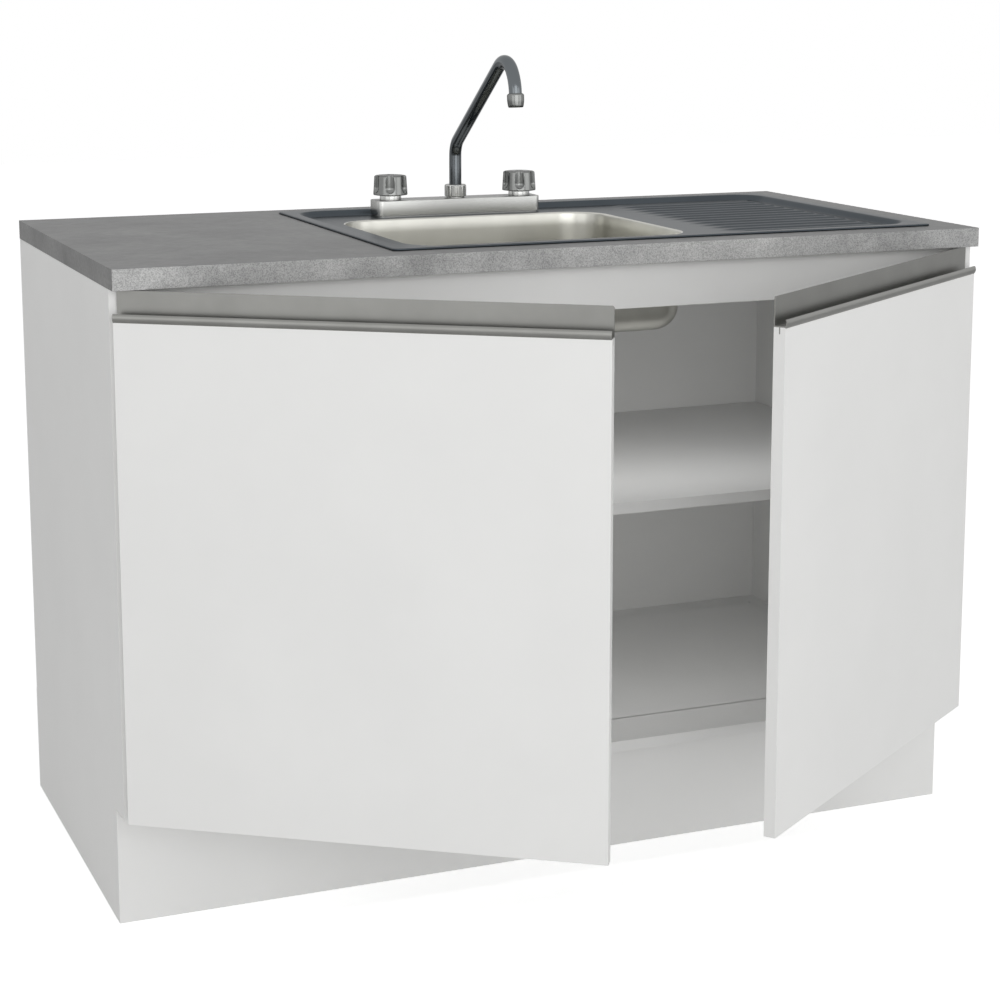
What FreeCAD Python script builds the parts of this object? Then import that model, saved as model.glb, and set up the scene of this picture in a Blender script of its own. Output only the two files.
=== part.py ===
import FreeCAD, Part
import math
import os
import re
from FreeCAD import Placement, Rotation, Vector

# Kitchen sink unit: a two-door base cabinet on a plinth, a worktop with an inset
# pressed sink and drainer, and a deck tap with two knobs and a swivel spout.
# Frame: +X to the right, +Y to the back, +Z up. The origin is on the floor, under
# the middle of the carcass. Sizes are in millimetres and angles in degrees.

SIZES = {
    # carcass and plinth boards
    "unit_width": 1200,
    "carcass_depth": 580,
    "board": 15,
    "back_board": 3,
    "back_inset": 1,
    "plinth_height": 151,
    "plinth_recess": 46.6,
    "block_side": 50,
    "block_height": 60,
    "base_screw_radius": 2.5,
    "base_screw_length": 38,
    "base_screw_sunk": 4,
    "screw_well": 27,
    "rail_height": 60,
    "shelf_height": 478.5,
    "shelf_clearance": 1,
    "shelf_pin_radius": 2.5,
    "shelf_pin_length": 9,
    "shelf_pin_inset": 60,
    # worktop and its cut-out
    "top_height": 838,
    "worktop": 26,
    "overhang": 20,
    "cutout_inset": 12,
    "cutout_radius": 40,
    # pressed sink: rim, recessed deck, bowl and ribbed drainer
    "sheet": 0.8,
    "sink_left": 365.5,
    "sink_right_gap": 48.5,
    "sink_front": 24,
    "sink_back_gap": 48,
    "rim_height": 3,
    "rim_band": 17,
    "rim_corner": 8,
    "rim_edge": 1.2,
    "recess_corner": 45,
    "recess_slope": 9,
    "recess_drop": 8,
    "bowl_width": 400,
    "bowl_left": 424,
    "bowl_front": 98,
    "bowl_back_gap": 92,
    "bowl_drop": 134,
    "bowl_corner": 55,
    "bowl_floor_radius": 30,
    "lip_radius": 3,
    "rib_gap": 44,
    "rib_end_gap": 26,
    "rib_side_gap": 42,
    "rib_pitch": 30,
    "rib_width": 12,
    "rib_height": 2,
    "seal_width": 8,
    "seal_inset": 3,
    "clip_width": 16,
    "clip_sheet": 1.5,
    "clip_foot": 24,
    "clip_screw_radius": 2.5,
    # waste: strainer body, lift-out basket, seal, lock nut and tailpiece
    "waste_radius": 44.5,
    "waste_flange": 56,
    "waste_flange_sheet": 1.2,
    "waste_body_radius": 42.5,
    "waste_depth": 48,
    "waste_wall": 2,
    "waste_throat": 37,
    "waste_ledge": 2.4,
    "basket_clearance": 0.5,
    "basket_depth": 20,
    "basket_sheet": 1,
    "basket_taper": 7,
    "basket_hole": 3,
    "basket_knob": 7,
    "tail_radius": 19.05,
    "tail_length": 95,
    "tail_wall": 1.5,
    "nut_height": 12,
    "seal_sheet": 3,
    # tap
    "tap_width": 255,
    "tap_depth": 42,
    "tap_height": 24,
    "tap_corner": 8,
    "tap_edge": 1.2,
    "tap_foot": 2,
    "tap_behind_bowl": 22,
    "tap_centres": 203.2,
    "shank_radius": 10.48,
    "shank_length": 62,
    "shank_wall": 3,
    "shank_neck_radius": 10.9,
    "shank_neck_length": 12,
    "deck_hole": 13.5,
    "shank_nut_radius": 17,
    "shank_nut_height": 8,
    "shank_washer": 2,
    "bonnet_radius": 15.6,
    "bonnet_height": 7,
    "stem_radius": 4.5,
    "stem_length": 27,
    "knob_screw_radius": 2,
    "knob_screw_grip": 5,
    "knob_screw_head": 3.4,
    "knob_screw_sheet": 2.2,
    "knob_screw_well": 3,
    "knob_radius": 25,
    "knob_top_radius": 23.4,
    "knob_height": 29,
    "knob_edge": 0.8,
    "knob_chamfer": 2.2,
    "knob_rest_angle": -20,
    "knob_flutes": 6,
    "flute_radius": 9,
    "flute_depth": 5,
    "flute_foot": 11,
    "running_fit": 0.08,
    "running_gap": 0.3,
    "spout_radius": 9,
    "spout_wall": 1.4,
    "spout_riser": 101,
    "spout_run": 243,
    "spout_rise": 35,
    "spout_elbow": 30,
    "spout_crown": 34,
    "spout_drop_radius": 54,
    "spout_drop": 50,
    "spout_tip": 7,
    "nozzle_tilt": 5,
    "spout_nut_radius": 16,
    "spout_nut_height": 17.5,
    "spout_nut_chamfer": 1.4,
    "spout_nut_flutes": 12,
    "spout_nut_flute_radius": 2,
    "spout_nut_flute_depth": 0.8,
    "spout_collar": 1.5,
    "aerator_radius": 11.8,
    "aerator_height": 19,
    "aerator_shoulder": 2,
    "aerator_taper": 1.4,
    "aerator_mouth": 8.4,
    # doors, handles and concealed hinges, as seen with the door shut
    "door_width": 596,
    "door_height": 622,
    "door_board": 15,
    "door_floor_gap": 2,
    "door_reveal": 2,
    "door_back_gap": 2,
    "door_rest_angle": 35,
    "handle_height": 36,
    "handle_sheet": 1.5,
    "handle_lip": 10.5,
    "handle_bulge": 2.4,
    "handle_hook": 1.0,
    "handle_tongue": 8,
    "handle_corner": 3,
    "bumper_radius": 5,
    "bumper_inset": 9,
    "bumper_drop": 13,
    "bumper_clearance": 0.3,
    "hinge_inset": 100,
    "cup_radius": 17.35,
    "cup_fit": 0.15,
    "cup_depth": 12,
    "cup_wall": 0.7,
    "cup_centre": 22.5,
    "cup_ear": 24,
    "cup_ear_offset": 6,
    "cup_ear_radius": 7,
    "cup_ear_sheet": 1,
    "cup_bridge": 3,
    "cup_pin_inset": 14.6,
    "cup_pin_depth": 2.8,
    "arm_pin_inset": 39.5,
    "arm_pin_back": 2.2,
    "hinge_pin_radius": 1.5,
    "link_share": 0.568,
    "link_crank": 9,
    "link_skew": 1.8,
    "link_half": 5.8,
    "link_radius": 2.1,
    "link_eye": 2.8,
    "arm_sheet": 1.5,
    "arm_half": 6.2,
    "arm_eye": 3.2,
    "arm_start": 12,
    "arm_end": 60,
    "arm_rise": 11,
    "arm_width": 8,
    "arm_reach": 3,
    "plate_base": 2.5,
    "plate_margin": 2,
    "plate_half": 24,
    "plate_row": 37,
    "plate_wing": 18,
    "plate_screw_gap": 32,
    "hinge_screw_radius": 2,
    "hinge_screw_head": 4,
    "hinge_screw_length": 11,
}

doc = FreeCAD.newDocument("KitchenSinkUnit")
sheet = doc.addObject("Spreadsheet::Sheet", "Sizes")
for row, (word, number) in enumerate(SIZES.items(), start=1):
    sheet.set(f"A{row}", word)
    sheet.set(f"B{row}", str(number))
    sheet.setAlias(f"B{row}", word)
doc.recompute()

WORDS = re.compile(r"\b(" + "|".join(sorted(SIZES, key=len, reverse=True)) + r")\b")
nodes = []


def size(word):
    """The value that the sheet holds for a word."""
    return float(sheet.get(word))


def bind(thing, prop, formula):
    """Tie a property to a formula over the sheet's words."""
    thing.setExpression(prop, WORDS.sub(r"Sizes.\1", formula))


def node(thing, label=None):
    """List an object as one of the pieces that are written out."""
    if label:
        thing.Label = label
    nodes.append(thing)
    return thing


def feature(label, shape, placement=None):
    """A piece whose shape is worked out by hand from the sheet."""
    thing = doc.addObject("Part::Feature", label)
    thing.Shape = shape
    if placement:
        thing.Placement = placement
    return thing


def block(label, extent, low):
    """A box from formulas for its three lengths and its low corner."""
    box = doc.addObject("Part::Box", label)
    for prop, formula in zip(("Length", "Width", "Height"), extent):
        bind(box, prop, formula)
    for axis, formula in zip("xyz", low):
        bind(box, "Placement.Base." + axis, formula)
    return box


def mirrored(label, source):
    """The right-hand twin of a left-hand piece, across the middle of the unit."""
    twin = doc.addObject("Part::Mirroring", label)
    twin.Source = source
    twin.Normal = Vector(1, 0, 0)
    twin.Base = Vector(0, 0, 0)
    return twin


def together(label, pieces):
    """Several objects as one piece of separate solids."""
    group = doc.addObject("Part::Compound", label)
    group.Links = pieces
    return group


def cut(label, base, tool_shape):
    """A base object less a set of holes."""
    tool = feature(label + "_holes", tool_shape)
    result = doc.addObject("Part::Cut", label)
    result.Base = base
    result.Tool = tool
    return result


def new_body(label):
    return doc.addObject("PartDesign::Body", label)


def new_sketch(body, name, role="XY_Plane", height=0.0):
    """A sketch on one of the body's own origin planes, raised by a height."""
    sketch = body.newObject("Sketcher::SketchObject", name)
    plane = [item for item in body.Origin.OriginFeatures if item.Role == role][0]
    sketch.AttachmentSupport = (plane, [""])
    sketch.MapMode = "FlatFace"
    sketch.AttachmentOffset = Placement(Vector(0, 0, height), Rotation())
    return sketch


def outline(sketch, points):
    """A closed outline. A point with a third number bulges the line that ends there."""
    last = points[-1]
    for point in points:
        start = Vector(last[0], last[1], 0)
        end = Vector(point[0], point[1], 0)
        if len(point) > 2 and point[2]:
            middle = (start + end) / 2
            along = end - start
            side = Vector(along.y, -along.x, 0).normalize()
            arc = Part.Arc(start, middle + side * point[2], end)
            sketch.addGeometry(arc, False)
        else:
            sketch.addGeometry(Part.LineSegment(start, end), False)
        last = point


def round_outline(sketch, x0, y0, x1, y1, radius):
    """A rectangle with round corners."""
    bulge = radius * (1 - math.sqrt(0.5))
    outline(sketch, [(x0 + radius, y0, bulge), (x1 - radius, y0),
                     (x1, y0 + radius, bulge), (x1, y1 - radius),
                     (x1 - radius, y1, bulge), (x0 + radius, y1),
                     (x0, y1 - radius, bulge), (x0, y0 + radius)])


def pad(body, sketch, formula, reverse=False, midplane=False):
    """Pad a sketch by a formula."""
    extrusion = body.newObject("PartDesign::Pad", sketch.Name + "Pad")
    extrusion.Profile = sketch
    bind(extrusion, "Length", formula)
    extrusion.Reversed = reverse
    extrusion.Midplane = midplane
    return extrusion


def turned(label, points, name="Profile"):
    """A body turned about its own Z axis from a half section of (radius, height)."""
    body = new_body(label)
    sketch = new_sketch(body, label + name, "XZ_Plane")
    outline(sketch, points)
    turning = body.newObject("PartDesign::Revolution", label + "Turning")
    turning.Profile = sketch
    turning.ReferenceAxis = (sketch, ["V_Axis"])
    turning.Angle = 360
    return body


def cylinder(radius, length, base, direction=Vector(0, 0, 1)):
    return Part.makeCylinder(radius, length, base, direction)


def rounded_face(x0, y0, x1, y1, radius, z):
    """A flat rectangle with round corners at a height."""
    corners = [(x0, y0, 1, 1), (x1, y0, -1, 1), (x1, y1, -1, -1), (x0, y1, 1, -1)]
    slant = radius * (1 - math.sqrt(0.5))
    edges = []
    ends = []
    for index, (x, y, dx, dy) in enumerate(corners):
        flat = (Vector(x, y + dy * radius, z), Vector(x + dx * radius, y, z))
        first, last = flat if index % 2 == 0 else flat[::-1]
        middle = Vector(x + dx * slant, y + dy * slant, z)
        edges.append(Part.Arc(first, middle, last).toShape())
        ends.append((first, last))
    for index in range(4):
        start = ends[index][1]
        end = ends[(index + 1) % 4][0]
        edges.append(Part.LineSegment(start, end).toShape())
    return Part.Face(Part.Wire(Part.__sortEdges__(edges)))


def rounded_block(x0, y0, x1, y1, radius, z0, z1):
    """An upright block with round corners."""
    return rounded_face(x0, y0, x1, y1, radius, z0).extrude(Vector(0, 0, z1 - z0))


def prism(points, run):
    """A flat outline carried along a straight run."""
    return Part.Face(Part.makePolygon(points + points[:1])).extrude(run)


def tub(x0, y0, x1, y1, radius, slope, z_top, z_floor):
    """A shallow tub whose sides slope in to its floor, round conical corners."""
    long_side = [Vector(x0 + radius, y0 + slope, z_floor),
                 Vector(x0 + radius, y1 - slope, z_floor),
                 Vector(x0 + radius, y1, z_top), Vector(x0 + radius, y0, z_top)]
    short_side = [Vector(x0 + slope, y0 + radius, z_floor),
                  Vector(x1 - slope, y0 + radius, z_floor),
                  Vector(x1, y0 + radius, z_top), Vector(x0, y0 + radius, z_top)]
    inside = [prism(long_side, Vector(x1 - x0 - 2 * radius, 0, 0)),
              prism(short_side, Vector(0, y1 - y0 - 2 * radius, 0))]
    for x in (x0 + radius, x1 - radius):
        for y in (y0 + radius, y1 - radius):
            inside.append(Part.makeCone(radius - slope, radius, z_top - z_floor,
                                        Vector(x, y, z_floor)))
    return inside[0].multiFuse(inside[1:]).removeSplitter()


# --- Places that several pieces share ---------------------------------------
half_width = size("unit_width") / 2
half_depth = size("carcass_depth") / 2
worktop_low = size("top_height") - size("worktop")
sink_left = size("sink_left") - half_width
sink_right = half_width - size("sink_right_gap")
sink_front = size("sink_front") - half_depth
sink_back = half_depth - size("sink_back_gap")
rim_top = size("top_height") + size("rim_height")
deck = rim_top - size("recess_drop")
bowl_left = size("bowl_left") - half_width
bowl_right = bowl_left + size("bowl_width")
bowl_front = size("bowl_front") - half_depth
bowl_back = sink_back - size("bowl_back_gap")
bowl_floor = deck - size("bowl_drop")
bowl_middle = Vector((bowl_left + bowl_right) / 2, (bowl_front + bowl_back) / 2, 0)
tap_middle = Vector(bowl_middle.x,
                    bowl_back + size("tap_behind_bowl") + size("tap_depth") / 2, 0)
tap_top = deck + size("tap_height")
knob_places = [tap_middle + Vector(side * size("tap_centres") / 2, 0, 0)
               for side in (-1, 1)]


# --- Carcass ------------------------------------------------------------------
INNER_WIDTH = "unit_width - 2 * board"
PANEL_DEPTH = "carcass_depth - back_board"
CARCASS_HEIGHT = "top_height - worktop - plinth_height"
FRONT = "-carcass_depth / 2"
LEFT = "-unit_width / 2"

hinge_heights = [size("plinth_height") + size("door_floor_gap") + size("hinge_inset"),
                 size("plinth_height") + size("door_floor_gap") + size("door_height")
                 - size("hinge_inset")]
shelf_pin_rows = [-half_depth + size("shelf_pin_inset"),
                  half_depth - size("shelf_pin_inset")]


def panel_holes():
    """Holes in the left side panel for the hinge plates and the shelf pins."""
    face = -half_width + size("board")
    holes = []
    for height in hinge_heights:
        for side in (-1, 1):
            place = Vector(face, -half_depth + size("plate_row"),
                           height + side * size("plate_screw_gap") / 2)
            holes.append(cylinder(size("hinge_screw_radius"), size("hinge_screw_length"),
                                  place, Vector(-1, 0, 0)))
    for row_y in shelf_pin_rows:
        place = Vector(face, row_y, size("shelf_height") - size("shelf_pin_radius"))
        holes.append(cylinder(size("shelf_pin_radius"), size("shelf_pin_length"),
                              place, Vector(-1, 0, 0)))
    return Part.makeCompound(holes)


side_blank = block("side_blank", ("board", PANEL_DEPTH, CARCASS_HEIGHT),
                   (LEFT, FRONT, "plinth_height"))
left_side = node(cut("left_side_panel", side_blank, panel_holes()))
node(mirrored("right_side_panel", left_side))

corner_middles = []
for side_x in (-1, 1):
    x = side_x * (half_width - size("board") - size("block_side") / 2)
    corner_middles.append(Vector(x, -half_depth + size("plinth_recess") + size("board")
                                 + size("block_side") / 2, 0))
    corner_middles.append(Vector(x, half_depth - size("board")
                                 - size("block_side") / 2, 0))

bottom_blank = block("bottom_blank", (INNER_WIDTH, PANEL_DEPTH, "board"),
                     (LEFT + " + board", FRONT, "plinth_height"))
screw_wells = [cylinder(size("base_screw_radius"), size("board"),
                        middle + Vector(0, 0, size("plinth_height")))
               for middle in corner_middles]
node(cut("bottom_panel", bottom_blank, Part.makeCompound(screw_wells)))

node(block("shelf", (INNER_WIDTH + " - 2 * shelf_clearance",
                     PANEL_DEPTH + " - shelf_clearance", "board"),
           (LEFT + " + board + shelf_clearance", FRONT, "shelf_height")))
node(block("back_panel", ("unit_width - 2 * back_inset", "back_board", CARCASS_HEIGHT),
           (LEFT + " + back_inset", "carcass_depth / 2 - back_board", "plinth_height")))
RAIL_LOW = "top_height - worktop - rail_height"
node(block("front_rail", (INNER_WIDTH, "board", "rail_height"),
           (LEFT + " + board", FRONT, RAIL_LOW)))
node(block("back_rail", (INNER_WIDTH, "board", "rail_height"),
           (LEFT + " + board", "carcass_depth / 2 - back_board - board", RAIL_LOW)))


def shelf_pins():
    """Four pins, half sunk in the side panels, with a flat saddle under the shelf."""
    pins = []
    for side in (-1, 1):
        face = side * (half_width - size("board"))
        for row_y in shelf_pin_rows:
            place = Vector(face + side * size("shelf_pin_length"), row_y,
                           size("shelf_height") - size("shelf_pin_radius"))
            pins.append(cylinder(size("shelf_pin_radius"), 2 * size("shelf_pin_length"),
                                 place, Vector(-side, 0, 0)))
    return Part.makeCompound(pins)


node(feature("shelf_pins", shelf_pins()))

# --- Plinth -------------------------------------------------------------------
PLINTH_FRONT = FRONT + " + plinth_recess"
SIDE_RUN = "carcass_depth - plinth_recess - 2 * board"
node(block("plinth_front", ("unit_width", "board", "plinth_height"),
           (LEFT, PLINTH_FRONT, "0")))
plinth_left = node(block("plinth_left", ("board", SIDE_RUN, "plinth_height"),
                         (LEFT, PLINTH_FRONT + " + board", "0")))
node(mirrored("plinth_right", plinth_left))
node(block("plinth_back", ("unit_width", "board", "plinth_height"),
           (LEFT, "carcass_depth / 2 - board", "0")))
node(block("plinth_cross_rail", ("board", SIDE_RUN, "plinth_height"),
           ("-board / 2", PLINTH_FRONT + " + board", "0")))


def corner_blocks():
    """Blocks glued in the plinth's corners, bored for the screws from above."""
    blocks = []
    half = size("block_side") / 2
    for middle in corner_middles:
        low = middle + Vector(-half, -half, size("plinth_height") - size("block_height"))
        solid = Part.makeBox(2 * half, 2 * half, size("block_height"), low)
        well = cylinder(size("base_screw_radius"), size("screw_well"),
                        middle + Vector(0, 0, size("plinth_height")), Vector(0, 0, -1))
        blocks.append(solid.cut(well))
    return Part.makeCompound(blocks)


def base_screws():
    """Screws that pull the carcass to the plinth, their heads sunk in the boards."""
    screws = []
    top = size("plinth_height") + size("board") - size("base_screw_sunk")
    for middle in corner_middles:
        screws.append(cylinder(size("base_screw_radius"), size("base_screw_length"),
                               middle + Vector(0, 0, top), Vector(0, 0, -1)))
    return Part.makeCompound(screws)


node(feature("plinth_corner_blocks", corner_blocks()))
node(feature("base_screws", base_screws()))

# --- Worktop ------------------------------------------------------------------
worktop = new_body("worktop")
top_sketch = new_sketch(worktop, "WorktopOutline", height=worktop_low)
outline(top_sketch, [(-half_width, -half_depth - size("overhang")),
                     (half_width, -half_depth - size("overhang")),
                     (half_width, half_depth), (-half_width, half_depth)])
pad(worktop, top_sketch, "worktop")
cutout_sketch = new_sketch(worktop, "CutOutOutline", height=worktop_low)
inset = size("cutout_inset")
round_outline(cutout_sketch, sink_left + inset, sink_front + inset, sink_right - inset,
              sink_back - inset, size("cutout_radius"))
opening = worktop.newObject("PartDesign::Pocket", "CutOut")
opening.Profile = cutout_sketch
opening.Type = "ThroughAll"
opening.Midplane = True
node(worktop)


# --- Sink ---------------------------------------------------------------------
def rim_edges(shape, z, x0, x1):
    """Level edges of a shape at a height, between two X places."""
    chosen = []
    for edge in shape.Edges:
        box = edge.BoundBox
        if abs(box.ZMin - z) < 1e-4 and abs(box.ZMax - z) < 1e-4:
            if box.XMin > x0 - 1e-3 and box.XMax < x1 + 1e-3:
                chosen.append(edge)
    return chosen


def pressed_volume(grow):
    """Everything below the sheet's upper skin, grown outwards by a thickness."""
    band = size("rim_band") - grow
    recess = tub(sink_left + band, sink_front + band, sink_right - band, sink_back - band,
                 size("recess_corner") + grow, size("recess_slope"),
                 rim_top, deck - grow)
    bowl = rounded_block(bowl_left - grow, bowl_front - grow, bowl_right + grow,
                         bowl_back + grow, size("bowl_corner") + grow,
                         bowl_floor - grow, deck)
    bottom = rim_edges(bowl, bowl_floor - grow, bowl_left - grow, bowl_right + grow)
    bowl = bowl.makeFillet(size("bowl_floor_radius") + grow, bottom)
    volume = recess.fuse(bowl).removeSplitter()
    mouth = rim_edges(volume, deck - grow, bowl_left - grow, bowl_right + grow)
    return volume.makeFillet(size("lip_radius") - grow, mouth)


def drainer_ribs():
    """Low rounded ridges pressed along the drainer, each with round ends."""
    height = size("rib_height")
    half = size("rib_width") / 2
    radius = (half * half + height * height) / (2 * height)
    x0 = bowl_right + size("rib_gap")
    x1 = sink_right - size("rib_end_gap")
    first = sink_front + size("rib_side_gap")
    last = sink_back - size("rib_side_gap")
    count = int((last - first) / size("rib_pitch")) + 1
    start = (first + last) / 2 - (count - 1) * size("rib_pitch") / 2
    skin = size("sheet") / 2
    ribs = []
    for index in range(count):
        y = start + index * size("rib_pitch")
        low = Vector(x0, y, deck + height - radius)
        ridge = cylinder(radius, x1 - x0, low, Vector(1, 0, 0))
        keep = Part.makeBox(x1 - x0, 2 * half, height + skin,
                            Vector(x0, y - half, deck - skin))
        ribs.append(ridge.common(keep))
    return ribs


def sink_shape():
    """The pressed sheet: a hollow rim, a recessed deck, the bowl and the drainer."""
    thick = size("sheet")
    rim = rounded_block(sink_left, sink_front, sink_right, sink_back,
                        size("rim_corner"), size("top_height"), rim_top)
    rim = rim.makeFillet(size("rim_edge"), rim_edges(rim, rim_top, sink_left, sink_right))
    hollow = rounded_block(sink_left + thick, sink_front + thick, sink_right - thick,
                           sink_back - thick, size("rim_corner") - thick,
                           size("top_height"), rim_top - thick)
    outside = pressed_volume(thick)
    clear = Part.makeBox(sink_right - sink_left, sink_back - sink_front, thick,
                         Vector(sink_left, sink_front, rim_top))
    sink = rim.cut(hollow).fuse(outside).cut(pressed_volume(0.0)).cut(clear)
    sink = sink.multiFuse(drainer_ribs())
    waste = cylinder(size("waste_radius"), 4 * thick,
                     bowl_middle + Vector(0, 0, bowl_floor - 2 * thick))
    holes = [waste]
    for place in knob_places:
        holes.append(cylinder(size("deck_hole"), 4 * thick,
                              place + Vector(0, 0, deck - 2 * thick)))
    return sink.cut(Part.makeCompound(holes)).removeSplitter()


def sink_seal():
    """A foam strip between the worktop and the hollow of the sink's rim."""
    inner = size("seal_inset") + size("seal_width")
    low = size("top_height")
    high = rim_top - size("sheet")
    ring = rounded_block(sink_left + size("seal_inset"), sink_front + size("seal_inset"),
                         sink_right - size("seal_inset"), sink_back - size("seal_inset"),
                         size("rim_corner"), low, high)
    return ring.cut(rounded_block(sink_left + inner, sink_front + inner,
                                  sink_right - inner, sink_back - inner,
                                  size("rim_corner"), low, high))


# Six clips: their place along the rim and the way that each one faces outwards.
third = (sink_right - sink_left) / 3
clip_seats = [(Vector(sink_left + third, sink_front, 0), -90),
              (Vector(sink_right - third, sink_front, 0), -90),
              (Vector(sink_left + third, sink_back, 0), 90),
              (Vector(sink_right - third, sink_back, 0), 90),
              (Vector(sink_left, (sink_front + sink_back) / 2, 0), 180),
              (Vector(sink_right, (sink_front + sink_back) / 2, 0), 0)]
clip_leg = -size("rim_band") + size("sheet")


def clip_shape():
    """One clip facing +X: a leg beside the sink's wall and a foot under the worktop."""
    thick = size("clip_sheet")
    half = size("clip_width") / 2
    foot_top = worktop_low - size("plate_base")
    leg = Part.makeBox(thick, 2 * half, rim_top - size("sheet") - foot_top,
                       Vector(clip_leg, -half, foot_top))
    foot = Part.makeBox(size("clip_foot"), 2 * half, thick,
                        Vector(clip_leg, -half, foot_top))
    bore = cylinder(size("clip_screw_radius"), thick,
                    Vector(clip_leg + size("clip_foot") - half, 0, foot_top))
    return leg.fuse(foot).cut(bore).removeSplitter()


def clip_screw():
    """The screw that bears up on the worktop through a clip's foot."""
    x = clip_leg + size("clip_foot") - size("clip_width") / 2
    foot_top = worktop_low - size("plate_base")
    head = cylinder(2 * size("clip_screw_radius"), size("clip_sheet"),
                    Vector(x, 0, foot_top), Vector(0, 0, -1))
    shank = cylinder(size("clip_screw_radius"), size("plate_base"),
                     Vector(x, 0, foot_top))
    return head.fuse(shank).removeSplitter()


def at_clips(shape):
    """A shape repeated at each clip's seat."""
    copies = []
    for seat, turn in clip_seats:
        copy = shape.copy()
        copy.Placement = Placement(seat, Rotation(Vector(0, 0, 1), turn))
        copies.append(copy)
    return Part.makeCompound(copies)


node(feature("sink", sink_shape()))
node(feature("sink_seal", sink_seal()))
node(feature("sink_clips", at_clips(clip_shape())))
node(feature("sink_clip_screws", at_clips(clip_screw())))

# --- Waste --------------------------------------------------------------------
waste_place = Placement(bowl_middle + Vector(0, 0, bowl_floor), Rotation())
wall = size("waste_wall")
body_radius = size("waste_body_radius")
tail_radius = size("tail_radius")
sump = -size("waste_depth")
throat = size("waste_throat")
ledge = size("waste_flange_sheet") - size("waste_ledge")
waste = turned("waste_body", [
    (tail_radius - size("tail_wall"), sump), (tail_radius + wall, sump),
    (body_radius, sump / 2), (body_radius, 0),
    (size("waste_flange"), 0), (size("waste_flange"), size("waste_flange_sheet")),
    (body_radius - wall, size("waste_flange_sheet")), (body_radius - wall, ledge),
    (throat, ledge), (throat, sump / 2), (tail_radius - size("tail_wall"), sump + wall)])
waste.Placement = waste_place
node(waste)

gasket_top = -size("sheet")
gasket = turned("waste_gasket", [
    (body_radius, gasket_top), (size("waste_flange"), gasket_top),
    (size("waste_flange"), gasket_top - size("seal_sheet")),
    (body_radius, gasket_top - size("seal_sheet"))])
gasket.Placement = waste_place
node(gasket)

nut_top = gasket_top - size("seal_sheet")
lock_nut = turned("waste_lock_nut", [
    (body_radius, nut_top), (size("waste_flange") - wall, nut_top),
    (size("waste_flange") - wall, nut_top - size("nut_height") / 2),
    (body_radius + 2 * wall, nut_top - size("nut_height")),
    (body_radius, nut_top - size("nut_height"))])
lock_nut.Placement = waste_place
node(lock_nut)

tail = turned("waste_tailpiece", [
    (tail_radius - size("tail_wall"), sump), (tail_radius + wall, sump),
    (tail_radius + wall, sump - wall), (tail_radius, sump - wall),
    (tail_radius, sump - size("tail_length")),
    (tail_radius - size("tail_wall"), sump - size("tail_length"))])
tail.Placement = waste_place
node(tail)

gap = size("basket_clearance")
skin = size("basket_sheet")
rim_radius = body_radius - wall - gap
mouth = throat - gap
seat_z = ledge + gap / 2
pit = seat_z - size("basket_depth")
knob_base = size("basket_knob") / 2
basket = turned("strainer_basket", [
    (0, pit), (mouth - size("basket_taper"), pit), (mouth, seat_z), (rim_radius, seat_z),
    (rim_radius, seat_z + skin), (mouth - skin, seat_z + skin),
    (mouth - size("basket_taper") - skin, pit + skin), (knob_base, pit + skin),
    (knob_base, seat_z), (size("basket_knob"), seat_z + knob_base),
    (size("basket_knob"), seat_z + 2 * knob_base), (0, seat_z + 2.2 * knob_base)])
hole_sketch = new_sketch(basket, "BasketHole")
hole_sketch.addGeometry(Part.Circle(Vector(mouth / 2, 0, 0), Vector(0, 0, 1),
                                    size("basket_hole")), False)
basket_hole = basket.newObject("PartDesign::Pocket", "BasketHoles")
basket_hole.Profile = hole_sketch
basket_hole.Type = "ThroughAll"
basket_hole.Midplane = True
basket_ring = basket.newObject("PartDesign::PolarPattern", "BasketHoleRing")
basket_ring.Originals = [basket_hole]
basket_ring.Axis = (hole_sketch, ["N_Axis"])
basket_ring.Angle = 360
basket_ring.Occurrences = 8
basket.Tip = basket_ring
basket.Placement = waste_place
node(basket)


# --- Tap ----------------------------------------------------------------------
def tap_body_shape():
    """The cast bar: round plan corners, a narrow foot and an opened spout socket."""
    half_x = size("tap_width") / 2
    half_y = size("tap_depth") / 2
    foot = size("tap_foot")
    bar = rounded_block(-half_x, -half_y, half_x, half_y, size("tap_corner"),
                        foot, size("tap_height"))
    long_edges = rim_edges(bar, size("tap_height"), -half_x, half_x)
    bar = bar.makeChamfer(size("tap_edge"), long_edges)
    base = rounded_block(-half_x + foot, -half_y + foot, half_x - foot, half_y - foot,
                         size("tap_corner") - foot, 0, foot)
    socket = cylinder(size("spout_radius") + size("running_fit"), size("tap_height"),
                      Vector(0, 0, foot + size("spout_collar")))
    boss = cylinder(size("spout_nut_radius") * 0.8, size("spout_collar"),
                    Vector(0, 0, size("tap_height")))
    body = bar.fuse([base, boss]).cut(socket)
    return body.removeSplitter()


tap_place = Placement(tap_middle + Vector(0, 0, deck), Rotation())
knob_lift = size("bonnet_height") + size("running_gap")
knob_seat = knob_lift + size("knob_height") - size("knob_screw_well")
node(feature("tap_body", tap_body_shape(), tap_place))


def bonnet_shape():
    """A round bonnet on the tap body, bored for the stem that the knob turns."""
    bonnet = cylinder(size("bonnet_radius"), size("bonnet_height"), Vector(0, 0, 0))
    bore = cylinder(size("stem_radius") + size("running_fit"), size("bonnet_height"),
                    Vector(0, 0, 0))
    return bonnet.cut(bore)


def stem_shape():
    """The valve's stem, from inside the bonnet to the head of the knob's socket."""
    gap = size("running_gap")
    stem = cylinder(size("stem_radius"), size("stem_length") - gap, Vector(0, 0, gap))
    thread = cylinder(size("knob_screw_radius"), size("knob_screw_grip"),
                      Vector(0, 0, size("stem_length")), Vector(0, 0, -1))
    return stem.cut(thread)


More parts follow.
